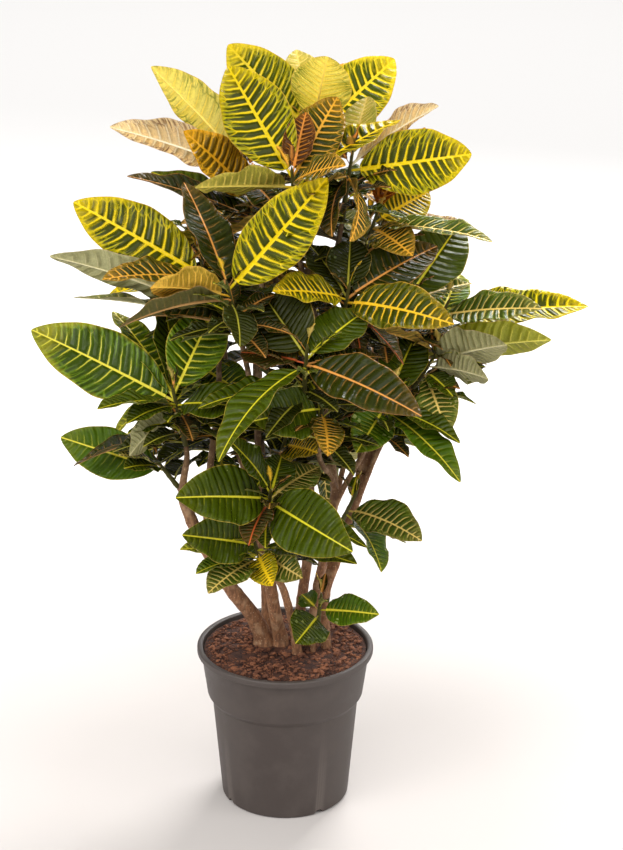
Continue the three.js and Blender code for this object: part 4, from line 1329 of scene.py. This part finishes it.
@dataclass
class Soil:
    """Potting mix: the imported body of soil, with bark chips and crumbs strewn over it.

    Lengths are in millimetres. lump is the height of its swells, reach the radius that grains
    reach, rare how much rarer long grains are than short ones, jitter how far a grain's corners
    stray as a share of its size, tilt how steeply it may lie and drop how high it may lie on others.
    """

    lump: float = 3.0
    reach: float = 108.5
    chips: int = 1500
    chip: tuple[float, float] = (3.0, 10.0)
    chip_flat: float = 0.38
    crumbs: int = 3000
    crumb: tuple[float, float] = (1.4, 3.4)
    crumb_flat: float = 0.8
    rare: float = 2.2
    jitter: float = 0.35
    tilt: float = 0.5
    drop: float = 1.2
    seed: int = 11
    earth: SoilFinish = SoilFinish("#2c1812", "#54301f", "#7a4c34")
    chip_bark: SoilFinish = SoilFinish("#4e2a1c", "#8e583a", "#b07c56")
    peat: SoilFinish = SoilFinish("#3a2016", "#74452e", "#9a6546")

    def lumps(self, x: np.ndarray, y: np.ndarray) -> np.ndarray:
        """Works out the soil's swells: three crossing sine waves, fading to the wall.

        Args:
            x: Places to the right of the pot's axis.
            y: Places behind it.

        Returns:
            Heights over the soil's level.
        """
        waves = (0.5 * np.sin(0.11 * x + 1.3 * np.sin(0.07 * y)) + 0.35 * np.sin(0.16 * y + 0.05 * x)
                 + 0.3 * np.sin(0.29 * x - 0.23 * y))
        return self.lump * waves * (1 - (np.hypot(x, y) / (self.reach + 1.0)) ** 8)

    def strew(self, name: str, count: int, size: tuple[float, float], flat: float,
              finish: SoilFinish) -> None:
        """Strews jittered twenty-sided grains over the soil, clear of the stems and the wall.

        A grain's length follows a draw to the power rare, and its distance from the axis the root
        of a draw, which spreads them evenly.

        Args:
            name: Name of the object.
            count: How many grains fall, before those on a stem are taken away.
            size: Smallest and largest length of a grain.
            flat: Thickness of a grain for its length.
            finish: Finish of the grains.
        """
        rng = np.random.default_rng(self.seed + count)
        golden = (1 + math.sqrt(5)) / 2
        ring = [(0, a, b * golden) for a in (-1, 1) for b in (-1, 1)]
        corners = np.array([np.roll(p, k) for k in range(3) for p in ring]) / math.hypot(1, golden)
        faces = self.hull(corners)
        length = size[0] + (size[1] - size[0]) * rng.random(count) ** self.rare
        away = (self.reach - length / 2) * np.sqrt(rng.random(count))
        turn = 2 * math.pi * rng.random(count)
        x, y = away * np.cos(turn), away * np.sin(turn)
        kept = self.beside_stems(x, y, length)
        x, y, length = x[kept], y[kept], length[kept]
        number = len(x)
        shape = corners * (1 + self.jitter * (rng.random((number, len(corners), 3)) - 0.5))
        shape = shape * (0.5 * length[:, None] * np.stack(
            (np.ones(number), 0.45 + 0.4 * rng.random(number), np.full(number, flat)), axis=1))[:, None]
        turn = 2 * math.pi * rng.random(number)
        lean = self.tilt * (rng.random((number, 2)) - 0.5)
        cos, sin = np.cos(turn), np.sin(turn)
        turned = np.stack((shape[..., 0] * cos[:, None] - shape[..., 1] * sin[:, None],
                           shape[..., 0] * sin[:, None] + shape[..., 1] * cos[:, None],
                           shape[..., 2] + shape[..., 0] * lean[:, :1] + shape[..., 1] * lean[:, 1:]), -1)
        height = SOIL_TOP + self.lumps(x, y) + 0.22 * flat * length + self.drop * rng.random(number)
        points = turned + np.stack((x, y, height), axis=-1)[:, None]
        triangles = (faces[None] + len(corners) * np.arange(number)[:, None, None]).reshape(-1, 3)
        surface = Surface()
        surface.add(points, np.zeros((0, 4), dtype=int), triangles)
        grains = surface.build(name, finish.material("composted_" + name))
        grains.data.polygons.foreach_set("use_smooth", np.zeros(len(triangles), dtype=bool))
        place(grains, "potting_mix")

    def beside_stems(self, x: np.ndarray, y: np.ndarray, length: np.ndarray) -> np.ndarray:
        """Finds the grains that fall clear of every stem.

        Args:
            x: Places to the right of the pot's axis.
            y: Places behind it.
            length: Lengths of the grains.

        Returns:
            True for each grain that is clear.
        """
        feet = np.array([(*stem.foot, stem.radii[0]) for stem in STEMS])
        apart = np.hypot(x[:, None] - feet[:, 0], y[:, None] - feet[:, 1]) - feet[:, 2]
        return np.all(apart > length[:, None] * 0.4 + 1.0, axis=1)

    def hull(self, corners: np.ndarray) -> np.ndarray:
        """Outward triangles of a regular twenty-sided body: corner trios one edge apart.

        Args:
            corners: Its twelve corners.

        Returns:
            Corner numbers of its faces, counterclockwise seen from outside.
        """
        apart = np.linalg.norm(corners[:, None] - corners[None], axis=-1)
        near = np.isclose(apart, apart[apart > 0.1].min())
        i, j, k = np.nonzero(near[:, :, None] & near[None] & near[:, None])
        trios = np.stack((i, j, k), axis=-1)[(i < j) & (j < k)]
        a, b, c = (corners[trios[:, n]] for n in range(3))
        inward = np.einsum("nx,nx->n", np.cross(b - a, c - a), a) < 0
        trios[inward] = trios[inward][:, ::-1]
        return trios

    def build(self) -> None:
        """Finishes the packed soil and strews chips and crumbs over it."""
        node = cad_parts["soil"]
        node.data.materials.clear()
        node.data.materials.append(self.earth.material("damp_potting_mix"))
        report(node)
        self.strew("bark_chips", self.chips, self.chip, self.chip_flat, self.chip_bark)
        self.strew("peat_crumbs", self.crumbs, self.crumb, self.crumb_flat, self.peat)


@dataclass
class Trunk:
    """The run of one stem above its foot, and what branches off it."""

    stem: Stem
    foot_height: float = 150.0
    upright: tuple[float, float] = (SOIL_TOP - 15, SOIL_TOP + 8)

    def __post_init__(self) -> None:
        """Keeps the points that the trunk runs through, with one more mirrored past each end."""
        x, y = self.stem.foot
        route = [*((x, y, z) for z in (self.foot_height, *self.upright)), *self.stem.route]
        points = np.array(route, dtype=float)
        self.points = np.concatenate((
            2 * points[:1] - points[1:2], points, 2 * points[-1:] - points[-2:-1]))

    def at(self, t: np.ndarray) -> np.ndarray:
        """Points along the trunk, a centripetal Catmull-Rom curve.

        Each span between points b and c, with neighbours a and d, is a cubic whose slopes at b and
        c are those of the parabolas through three points, spaced by the root of their distances.

        Args:
            t: Places from the foot (0) to the top (1).

        Returns:
            One point for each place.
        """
        spans = len(self.points) - 3
        along = np.clip(np.atleast_1d(t), 0.0, 1.0) * spans
        i = np.minimum(along.astype(int), spans - 1)
        w = (along - i)[:, None]
        a, b, c, d = (self.points[i + k] for k in range(4))
        first, middle, last = (np.linalg.norm(q - p, axis=1, keepdims=True) ** 0.5
                               for p, q in ((a, b), (b, c), (c, d)))
        leave = ((b - a) / first - (c - a) / (first + middle) + (c - b) / middle) * middle
        arrive = ((c - b) / middle - (d - b) / (middle + last) + (d - c) / last) * middle
        square = -3 * b + 3 * c - 2 * leave - arrive
        cube = 2 * b - 2 * c + leave + arrive
        return b + w * leave + w ** 2 * square + w ** 3 * cube

    def branch(self, shoot: Shoot, t: np.ndarray) -> np.ndarray:
        """Points along a branch: a cubic Bezier from the trunk to just under its shoot.

        Args:
            shoot: Shoot that the branch carries.
            t: Places from the fork (0) to the shoot (1).

        Returns:
            One point for each place.
        """
        start = self.at(np.array(shoot.fork))[0]
        ends = self.at(np.array((shoot.fork - 0.0001, shoot.fork + 0.0001)))
        lean = shoot.axis
        end = np.array(shoot.at) - lean * (shoot.below + SEAT_GAP)
        pull = BRANCH_PULL * np.linalg.norm(end - start)
        leave = start + pull * unit(ends[1] - ends[0])
        arrive = end - pull * lean
        w = t[:, None]
        return (start * (1 - w) ** 3 + 3 * leave * w * (1 - w) ** 2
                + 3 * arrive * w ** 2 * (1 - w) + end * w ** 3)


def sweep(path: np.ndarray, radius: np.ndarray, sides: int) -> np.ndarray:
    """Carries a circle along a path.

    The ring at a path point is the point plus radius times (cos * a + sin * b), where a and b are
    square to the path and to each other, and a leans on the axis that the path follows least.

    Args:
        path: Points along the middle.
        radius: Radius by path point, or by path point and place round the ring.
        sides: How many places each ring has.

    Returns:
        Points by ring and by place round it.
    """
    forward = unit(np.gradient(path, axis=0))
    guide = np.eye(3)[np.argmin(np.abs(forward).max(axis=0))]
    a = unit(guide - forward * (forward @ guide)[:, None])
    b = np.cross(forward, a)
    angle = around(sides)[None, :, None]
    reach = radius.reshape(len(path), -1, 1)
    return path[:, None] + reach * (np.cos(angle) * a[:, None] + np.sin(angle) * b[:, None])


@dataclass
class Stems:
    """Woody stems: knobbly trunks that swell at the foot, with forks grown together.

    Lengths are in millimetres. A trunk widens by the share flare at the soil, fading upwards over
    flare_height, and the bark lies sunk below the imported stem's radius for its knobs. A branch is
    slim times as thick as the thinner end of its stem, with a collar that widens it by that share,
    fading over the share collar_reach of its length.
    """

    sides: int = 18
    step: float = 2.4
    knob_step: float = 15.0
    knob_reach: float = 3.2
    knob: float = 0.9
    ripple: float = 0.03
    sunk: float = 0.3
    flare: float = 0.32
    flare_height: float = 16.0
    slim: float = 0.75
    collar: float = 0.35
    collar_reach: float = 0.12
    voxel: float = 2.0
    smoothing: int = 3

    def knobs(self, path: np.ndarray, seed: int) -> np.ndarray:
        """Swelling at each old leaf scar, by path point and place round the stem.

        A scar every knob_step of length, turned by the golden angle from the last, raises the bark
        by knob times exp(-(distance / knob_reach)^2) times the fourth power of half of one plus the
        cosine of the angle from it. A slow ripple makes the stem a little oval, one way and the other.

        Args:
            path: Points along the middle of the stem.
            seed: Number that turns and shifts the scars.

        Returns:
            Heights in millimetres.
        """
        along = np.concatenate(([0.0], np.cumsum(steps(path))))
        count = max(int(along[-1] / self.knob_step), 1)
        number = np.arange(count)
        centre = (number + 0.5 + 0.5 * np.sin(seed + 2.1 * number)) * self.knob_step
        facing = np.radians(GOLDEN_ANGLE) * number + seed
        angle = around(self.sides)
        close = np.exp(-((along[:, None] - centre) / self.knob_reach) ** 2)
        turned = ((1 + np.cos(angle[:, None] - facing)) / 2) ** 4
        ripple = self.ripple * np.sin(along / 9.0 + seed)[:, None] * np.cos(2 * angle + seed)
        return self.knob * np.einsum("pk,ak->pa", close, turned) + 8.0 * ripple

    def build(self) -> None:
        """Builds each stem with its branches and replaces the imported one."""
        bark = BarkFinish().material()
        for seed, stem in enumerate(STEMS):
            self.grow(stem, seed, bark)

    def grow(self, stem: Stem, seed: int, bark: bpy.types.Material) -> None:
        """Sweeps a trunk and its branches, fuses them and smooths the forks.

        Args:
            stem: Stem to build.
            seed: Number of the stem.
            bark: Its material.
        """
        trunk = Trunk(stem)
        surface = Surface()
        surface.tube(self.trunk_rings(trunk, seed))
        for number, shoot in enumerate(s for s in SHOOTS if s.stem == stem.name):
            surface.tube(self.branch_rings(trunk, shoot, seed + number + 7))
        piece = surface.build(stem.name + "_bark", bark)
        remesh = piece.modifiers.new("grow_together", "REMESH")
        remesh.mode = "VOXEL"
        remesh.voxel_size = self.voxel * MM
        remesh.use_smooth_shade = True
        smooth = piece.modifiers.new("even_out", "SMOOTH")
        smooth.factor = 0.5
        smooth.iterations = self.smoothing
        settle(piece)
        place(piece, "bark", stem.name)

    def trunk_rings(self, trunk: Trunk, seed: int) -> np.ndarray:
        """Sweeps a trunk from its foot, widened at the soil, to its top.

        Args:
            trunk: The trunk.
            seed: Number that its knobs follow from.

        Returns:
            Points by ring and by place round it.
        """
        foot, top = trunk.stem.radii
        length = steps(trunk.points[1:-1]).sum()
        t = np.linspace(0.0, 1.0, max(int(length / self.step), 12))
        path = trunk.at(t)
        swell = 1 + self.flare * np.exp(-np.maximum(path[:, 2] - SOIL_TOP, 0.0) / self.flare_height)
        radius = ((foot + (top - foot) * t) * swell)[:, None] + self.knobs(path, seed) - self.sunk
        return sweep(path, radius, self.sides)

    def branch_rings(self, trunk: Trunk, shoot: Shoot, seed: int) -> np.ndarray:
        """Sweeps a branch from its collar on the trunk to its shoot.

        Args:
            trunk: Trunk that carries the branch.
            shoot: Shoot at its end.
            seed: Number that its knobs follow from.

        Returns:
            Points by ring and by place round it.
        """
        thick = self.slim * min(trunk.stem.radii)
        length = steps(trunk.branch(shoot, np.linspace(0.0, 1.0, 12))).sum()
        t = np.linspace(0.0, 1.0, max(int(length / self.step), 8))
        path = trunk.branch(shoot, t)
        radius = (thick + (SHOOT_RADIUS - thick) * t)[:, None] * np.ones(self.sides)
        radius = radius + 0.6 * self.knobs(path, seed) * (1 - 0.6 * t[:, None])
        radius = radius * (1 + self.collar * np.exp(-(t / self.collar_reach) ** 2))[:, None]
        return sweep(path, radius, self.sides)


def outline(v: np.ndarray) -> np.ndarray:
    """Half-width of a blade from base (0) to tip (1): sin(pi v^0.85)^0.75."""
    return np.clip(np.sin(math.pi * v ** 0.85), 0.0, 1.0) ** 0.75


@dataclass
class PlacedLeaf:
    """A leaf where it grows: root, directions, sizes and the look it wears."""

    root: np.ndarray
    azimuth: float
    elevation: float
    length: float
    width: float
    roll: float
    droop: float
    phase: float
    tone: Tone

    def __post_init__(self) -> None:
        """Works out the chord from root to tip, the way the blade faces and the way across it."""
        self.chord = direction(self.azimuth, self.elevation)
        upright = direction(self.azimuth, self.elevation + 90)
        roll = math.radians(self.roll)
        self.face = upright * math.cos(roll) - np.cross(self.chord, upright) * math.sin(roll)
        self.side = np.cross(self.face, self.chord)

    def at(self, v: np.ndarray, across: np.ndarray, lift: np.ndarray) -> np.ndarray:
        """Points over the midrib, which is an arc of droop degrees over the chord.

        Args:
            v: Places along the blade, below 0 on the petiole.
            across: Distances across the blade.
            lift: Distances square to the midrib.

        Returns:
            Points, with x, y and z along the last axis.
        """
        total = PETIOLE + self.length
        bend = math.radians(self.droop)
        radius = total / bend
        angle = bend * (0.5 - (PETIOLE + v * self.length) / total)
        ahead = radius * (math.sin(bend / 2) - np.sin(angle)) - lift * np.sin(angle)
        high = radius * (np.cos(angle) - math.cos(bend / 2)) + lift * np.cos(angle)
        ahead, across, high = np.broadcast_arrays(ahead, across, high)
        return (self.root + ahead[..., None] * self.chord + across[..., None] * self.side
                + high[..., None] * self.face)

    def rise(self, v: np.ndarray, u: np.ndarray) -> np.ndarray:
        """Works out how high the blade lies over its midrib: fold and wave.

        The fold raises it by |u| times the half-width times sin(FOLD); the wave adds WAVE times |u|
        times the outline times sin(2 pi (WAVES v + phase) + u).

        Args:
            v: Places along the blade.
            u: Shares of the half-width, from -1 to 1.

        Returns:
            Heights in millimetres.
        """
        edge = np.abs(u)
        wave = WAVE * edge * outline(v) * np.sin(2 * math.pi * (WAVES * v + self.phase) + u)
        return edge * self.width / 2 * outline(v) * math.sin(FOLD) + wave

    def marks(self) -> np.ndarray:
        """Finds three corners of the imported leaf, whose stations depend on its length.

        Returns:
            Its tip, and both margins at its last station.
        """
        station = 0.8 if self.length > 130 else 0.74 if self.length > 70 else 0.72
        v = np.array((1.0, station, station))
        u = np.array((0.0, 1.0, -1.0))
        across = u * self.width / 2 * outline(v) * math.cos(FOLD)
        return self.at(v, across, self.rise(v, u) + BLADE / 2)


@dataclass(frozen=True)
class Tuft:
    """A rule for small leaves along a shoot, turned by the golden angle.

    length is that of the first and the last leaf in millimetres. rise is the place of the first as
    a share of the tuft's span and how much further the last stands, and tilt the elevation of the
    first and how much more that of the last is. Each shoot's tuft is turned by turn from the one
    before, and its draws start from seed.
    """

    count: int
    length: tuple[float, float]
    rise: tuple[float, float]
    tilt: tuple[float, float]
    turn: float
    seed: int


@dataclass
class Crown:
    """Leafy shoots: each a twig with its whorl of patterned leaves.

    Lengths are in millimetres and angles in degrees. A blade has across columns and a station of
    points every station, or coarse_station where it is shorter than coarse_below. laterals is how
    many of them a blade has on each side, pucker and ruffle how high it swells between them and at
    its margin, and vary how much the leaves of one tone differ. The midrib's radius runs from the
    first to the second of rib. least_apart, front_shoot, forward_most, turns and the four after
    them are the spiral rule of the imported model. Young leaves open above each whorl, in the tones
    of young_high where it stands over young_above. Inner leaves hide a twig longer than inner_room.
    """

    station: float = 4.3
    coarse_station: float = 6.5
    across: int = 17
    twig_sides: int = 12
    rib_sides: int = 7
    laterals: float = 13.0
    pucker: float = 0.45
    ruffle: float = 1.5
    vary: float = 0.25
    rib: tuple[float, float] = (1.6, 0.45)
    twig: str = "#4d4a22"
    twig_scar: str = "#75603c"
    least_apart: float = 32.0
    front_shoot: float = 60.0
    forward_most: float = -0.25
    turns: int = 20
    lowest_leaf: float = -24.0
    leaf_rise: float = 62.0
    lowest_root: float = -0.8
    root_rise: float = 1.1
    young: Tuft = Tuft(3, (38.0, 22.0), (0.4, 0.5), (30.0, 40.0), 40.0, 300)
    young_above: float = 780.0
    young_high: tuple[Tone, ...] = (Tone.RUSSET, Tone.ORANGE_VEINED, Tone.RUSSET)
    young_low: tuple[Tone, ...] = (Tone.GREEN, Tone.DARK_ORANGE, Tone.FINE_LINED)
    inner: Tuft = Tuft(12, (78.0, 60.0), (0.9, -0.75), (-5.0, 25.0), 25.0, 700)
    inner_room: float = 40.0
    inner_tones: tuple[Tone, ...] = (Tone.DARK, Tone.DARK_ORANGE, Tone.GREEN)
    coarse_below: float = 90.0

    def build(self) -> None:
        """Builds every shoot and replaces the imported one."""
        finish = LeafFinish().material()
        total = 0
        for number, shoot in enumerate(SHOOTS):
            leaves = self.leaves(shoot, number)
            total += len(leaves)
            surface = Surface()
            self.add_twig(surface, shoot, number)
            for leaf in (*leaves, *self.small(shoot, number)):
                self.add_blade(surface, leaf)
                self.add_rib(surface, leaf)
            place(surface.build(f"{shoot.name}_leaves", finish), "leaf", f"shoot_{shoot.name}")
        LOG.info("%d leaves", total)

    def settled(self, shoot: Shoot, leaf: Leaf, seed: int, corners: np.ndarray) -> PlacedLeaf | None:
        """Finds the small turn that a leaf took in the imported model, by corners it has there.

        Args:
            shoot: Shoot that the leaf grows on.
            leaf: The leaf as it is listed.
            seed: Seed of its wave.
            corners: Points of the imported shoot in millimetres.

        Returns:
            The leaf where it stands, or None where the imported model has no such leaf.
        """
        rise = min(max((leaf.elevation + 20) / 90, 0.0), 1.0)
        height = rise * ROOT_SPREAD if leaf.height is None else leaf.height
        for azimuth, elevation, roll in TURNS:
            placed = PlacedLeaf(
                shoot.point(height), leaf.azimuth + azimuth, leaf.elevation + elevation, leaf.length,
                leaf.width, leaf.roll + roll, leaf.droop, draw(seed), leaf.tone)
            apart = np.linalg.norm(placed.marks()[:, None] - corners[None], axis=-1).min(axis=1)
            if np.sum(apart < 0.3) >= 2:
                return placed
        return None

    def spiral(self, shoot: Shoot, number: int, k: int, tone: Tone) -> Leaf:
        """Leaf that the golden-angle rule gives a shoot at its k-th place, lowest first.

        With h from 0 to 1 up the spiral, its length is the shoot's size times 1.08 - 0.3 h, a tenth
        more or less, and its width 0.4 to 0.5 of that. Draws turn and droop it a little.

        Args:
            shoot: Shoot that it grows on.
            number: Number of the shoot.
            k: Its place in the spiral.
            tone: Its colouring.

        Returns:
            The leaf.
        """
        seed = 50 * number + 3 * k
        height = k / self.turns
        length = shoot.size * (1.08 - 0.3 * height) * (0.9 + 0.2 * draw(seed + 1))
        return Leaf(
            GOLDEN_ANGLE * k + 77 * number,
            self.lowest_leaf + self.leaf_rise * height + 14 * (draw(seed) - 0.5), length,
            length * (0.4 + 0.1 * draw(seed + 2)), 40 * (draw(seed + 3) - 0.5), 18 + 22 * draw(seed + 4),
            tone, shoot.below * (self.lowest_root + self.root_rise * height))

    def leaves(self, shoot: Shoot, number: int) -> list[PlacedLeaf]:
        """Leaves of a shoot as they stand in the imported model.

        Args:
            shoot: The shoot.
            number: Its number.

        Returns:
            Its own leaves and those of the spiral rule.
        """
        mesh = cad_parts[f"shoot_{shoot.name}"].data
        corners = np.empty(3 * len(mesh.vertices), dtype=np.float32)
        mesh.vertices.foreach_get("co", corners)
        corners = np.unique(np.round(corners.reshape(-1, 3) / MM, 3), axis=0)
        own = [self.settled(shoot, leaf, 50 * number + k, corners) for k, leaf in enumerate(shoot.leaves)]
        found = [leaf for leaf in own if leaf is not None]
        taken = [direction(leaf.azimuth, leaf.elevation) for leaf in shoot.leaves]
        full = len(taken) + shoot.more
        for k in range(shoot.first, self.turns):
            if len(taken) >= full:
                break
            tone = shoot.fill[k % len(shoot.fill)]
            leaf = self.spiral(shoot, number, k, tone)
            way = direction(leaf.azimuth, leaf.elevation)
            crowded = max((way @ other for other in taken), default=-1) >= math.cos(
                math.radians(self.least_apart))
            if crowded or (shoot.at[1] <= self.front_shoot and way[1] <= self.forward_most):
                continue
            placed = self.settled(shoot, leaf, 50 * number + 25 + k, corners)
            if placed is not None:
                found.append(placed)
                taken.append(way)
        return found

    def small(self, shoot: Shoot, number: int) -> list[PlacedLeaf]:
        """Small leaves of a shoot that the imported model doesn't have: young ones, and inner ones.

        Args:
            shoot: The shoot.
            number: Its number.

        Returns:
            The young leaves, warm in colour high on the plant and green low down, and the inner
            leaves where the twig has room for them.
        """
        tones = self.young_high if shoot.at[2] > self.young_above else self.young_low
        leaves = self.spread(self.young, shoot, number, SHOOT_ABOVE, tones)
        if shoot.below >= self.inner_room:
            leaves += self.spread(self.inner, shoot, number, -shoot.below, self.inner_tones)
        return leaves

    def spread(self, tuft: Tuft, shoot: Shoot, number: int, span: float,
               tones: tuple[Tone, ...]) -> list[PlacedLeaf]:
        """Spreads a tuft along a shoot, each leaf scattered a little by its seed.

        Args:
            tuft: The tuft.
            shoot: The shoot.
            number: Its number.
            span: Length that the tuft may take up, below 0 where it goes down from the whorl.
            tones: Colourings that its leaves take in turn.

        Returns:
            The leaves.
        """
        leaves = []
        for k, part in enumerate(np.linspace(0.0, 1.0, tuft.count)):
            seed = tuft.seed + 50 * number + 3 * k
            length = float(np.interp(part, (0, 1), tuft.length))
            leaves.append(PlacedLeaf(
                shoot.point(span * (tuft.rise[0] + tuft.rise[1] * part)),
                GOLDEN_ANGLE * k + tuft.turn * number + 30 * (draw(seed) - 0.5),
                tuft.tilt[0] + tuft.tilt[1] * part + 20 * (draw(seed + 1) - 0.5),
                length * (0.85 + 0.3 * draw(seed + 2)), 0.42 * length, 30 * (draw(seed + 2) - 0.5),
                32.0, draw(seed + 1), tones[k % len(tones)]))
        return leaves

    def add_twig(self, surface: Surface, shoot: Shoot, number: int) -> None:
        """Adds the twig of a shoot: a tapering rod with leaf scars and a bud at its end.

        A scar stands out 0.45 mm times the sixth power of a sine that winds round it every 14 mm.

        Args:
            surface: Surface that it is added to.
            shoot: The shoot.
            number: Its number.
        """
        t = np.linspace(0.0, 1.0, 40)
        length = shoot.below + SHOOT_ABOVE
        path = np.array(shoot.at) + shoot.axis * (length * t - shoot.below)[:, None]
        angle = around(self.twig_sides)
        scars = np.maximum(0, np.sin(length * t[:, None] / 2.2 + angle + number)) ** 6
        bud = np.sqrt(np.clip((1 - t) / 0.08, 0.02, 1.0))
        radius = ((SHOOT_RADIUS * (1 - 0.5 * t))[:, None] + 0.45 * scars) * bud[:, None]
        surface.tube(sweep(path, radius, self.twig_sides), {
            "leaf_mm": (0.5, 0.5), "leaf_place": (0.5, 0.0), "blade_colour": linear(self.twig),
            "halo_colour": linear(self.twig_scar), "vein_colour": linear(self.twig_scar),
            "leaf_lines": (0.0, 0.0, 100.0), "leaf_zones": (0.0, 0.9, 0.0),
            "leaf_kind": (-1.0, 0.0, 0.0), "leaf_glow": (0.0,),
        })

    def spacing(self, leaf: PlacedLeaf) -> float:
        """Distance between the laterals of a leaf: an even share of its length."""
        return leaf.length / self.laterals

    def add_blade(self, surface: Surface, leaf: PlacedLeaf) -> None:
        """Adds the blade of a leaf, both faces of it and its thin margin.

        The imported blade's fold and wave carry a quilting of pucker times -cos(2 pi s), where s
        counts the laterals that lie between the base and a point, and fades to the rib and margin,
        and a wave of ruffle times u^2 times the outline times a sine with 4.3 beats to the blade.
        The margin strays by a fiftieth, the blade thins to half there, and stations lie closer at
        both ends. A leaf shorter than coarse_below has stations further apart and fewer columns.

        Args:
            surface: Surface that it is added to.
            leaf: The leaf.
        """
        look = LOOKS[leaf.tone]
        fine = leaf.length > self.coarse_below
        count = int(leaf.length / (self.station if fine else self.coarse_station)) + 2
        columns = self.across if fine else self.across // 2 + 1
        even = np.linspace(0.0, 1.0, count)[:, None]
        v = 0.012 + 0.985 * (0.7 * even + 0.15 * (1 - np.cos(math.pi * even)))
        top = np.linspace(1.0, -1.0, columns)
        u = np.concatenate((top, top[::-1]))[None, :]
        level = np.repeat((1.0, -1.0), columns)[None, :]
        edge = np.abs(u)
        half = leaf.width / 2 * outline(v) * (1 + 0.02 * np.sin(17 * v + 9 * leaf.phase + u))
        across = u * half * math.cos(FOLD)
        gap = self.spacing(leaf)
        along = v * leaf.length
        turns = (along - 0.34 * np.abs(across)) / gap + 0.5 * (u > 0)
        quilt = self.pucker * -np.cos(2 * math.pi * (turns - 0.5)) * 4 * edge * (1 - edge) * outline(v)
        beats = 4.3 * v + 3 * leaf.phase
        ruffle = self.ruffle * edge ** 2 * outline(v) * np.sin(2 * math.pi * beats - u)
        lift = leaf.rise(v, u) + quilt + ruffle + level * BLADE / 2 * (1 - 0.5 * edge)
        above = level > 0
        colours = {
            "blade_colour": (look.blade, look.under), "halo_colour": (look.halo, look.under_halo),
            "vein_colour": (look.vein, look.under_vein),
        }
        tint = 1 + self.vary * (draw(SEED_SPREAD * leaf.phase) - 0.5)
        carried = {
            name: tint * np.where(above[..., None], linear(face), linear(back))
            for name, (face, back) in colours.items()
        }
        carried["leaf_mm"] = np.stack(np.broadcast_arrays(across, along), -1) / DECIMETRE
        carried["leaf_place"] = np.stack(np.broadcast_arrays(u / 2 + 0.5, v), -1)
        carried["leaf_lines"] = (look.lateral, look.rib, gap)
        carried["leaf_zones"] = (look.flush, look.mottle, look.reach)
        seed = np.full_like(level, SEED_SPREAD * leaf.phase)
        shown = np.full_like(level, look.shown)
        carried["leaf_kind"] = np.stack((level, seed, shown), axis=-1)
        carried["leaf_glow"] = (look.glow,)
        surface.tube(leaf.at(v, across, lift), carried)

    def add_rib(self, surface: Surface, leaf: PlacedLeaf) -> None:
        """Adds the petiole and the midrib that runs on under the blade, one tapering rod.

        A leaf of 120 mm has the radii of rib, and they go with the length up to 1.15 times that.
        The rod's middle hangs three quarters of its radius under that of the blade.

        Args:
            surface: Surface that it is added to.
            leaf: The leaf.
        """
        look = LOOKS[leaf.tone]
        v = np.linspace(-PETIOLE / leaf.length, 0.95, max(int(leaf.length / 5), 10))[:, None]
        size = min(leaf.length / 120, 1.15)
        grown = np.clip(v, 0.0, 1.0)
        radius = size * (self.rib[0] + (self.rib[1] - self.rib[0]) * grown)
        angle = around(self.rib_sides)[None, :]
        rings = leaf.at(v, radius * np.cos(angle), radius * (np.sin(angle) - 0.75))
        vein = np.array(linear(look.under_vein))
        stalk = np.array(linear(look.vein)) * 0.75
        colour = np.where(v[..., None] < 0, stalk, vein)
        surface.tube(rings, {
            "leaf_mm": np.stack(np.broadcast_arrays(0.0, v * leaf.length / DECIMETRE), -1),
            "leaf_place": np.stack(np.broadcast_arrays(0.5, grown), -1),
            "blade_colour": colour, "halo_colour": colour, "vein_colour": colour,
            "leaf_lines": (look.lateral, 8.0, self.spacing(leaf)), "leaf_zones": (0.0, 0.0, 1.0),
            "leaf_kind": (-1.0, 0.0, 0.0), "leaf_glow": (0.1,),
        })


def main() -> None:
    """Builds the studio and the plant from the pot up."""
    logging.basicConfig(level=logging.INFO, format="%(name)s: %(message)s")
    Studio().build()
    Pot().build()
    Soil().build()
    Stems().build()
    Crown().build()


if __name__ == "__main__":
    main()
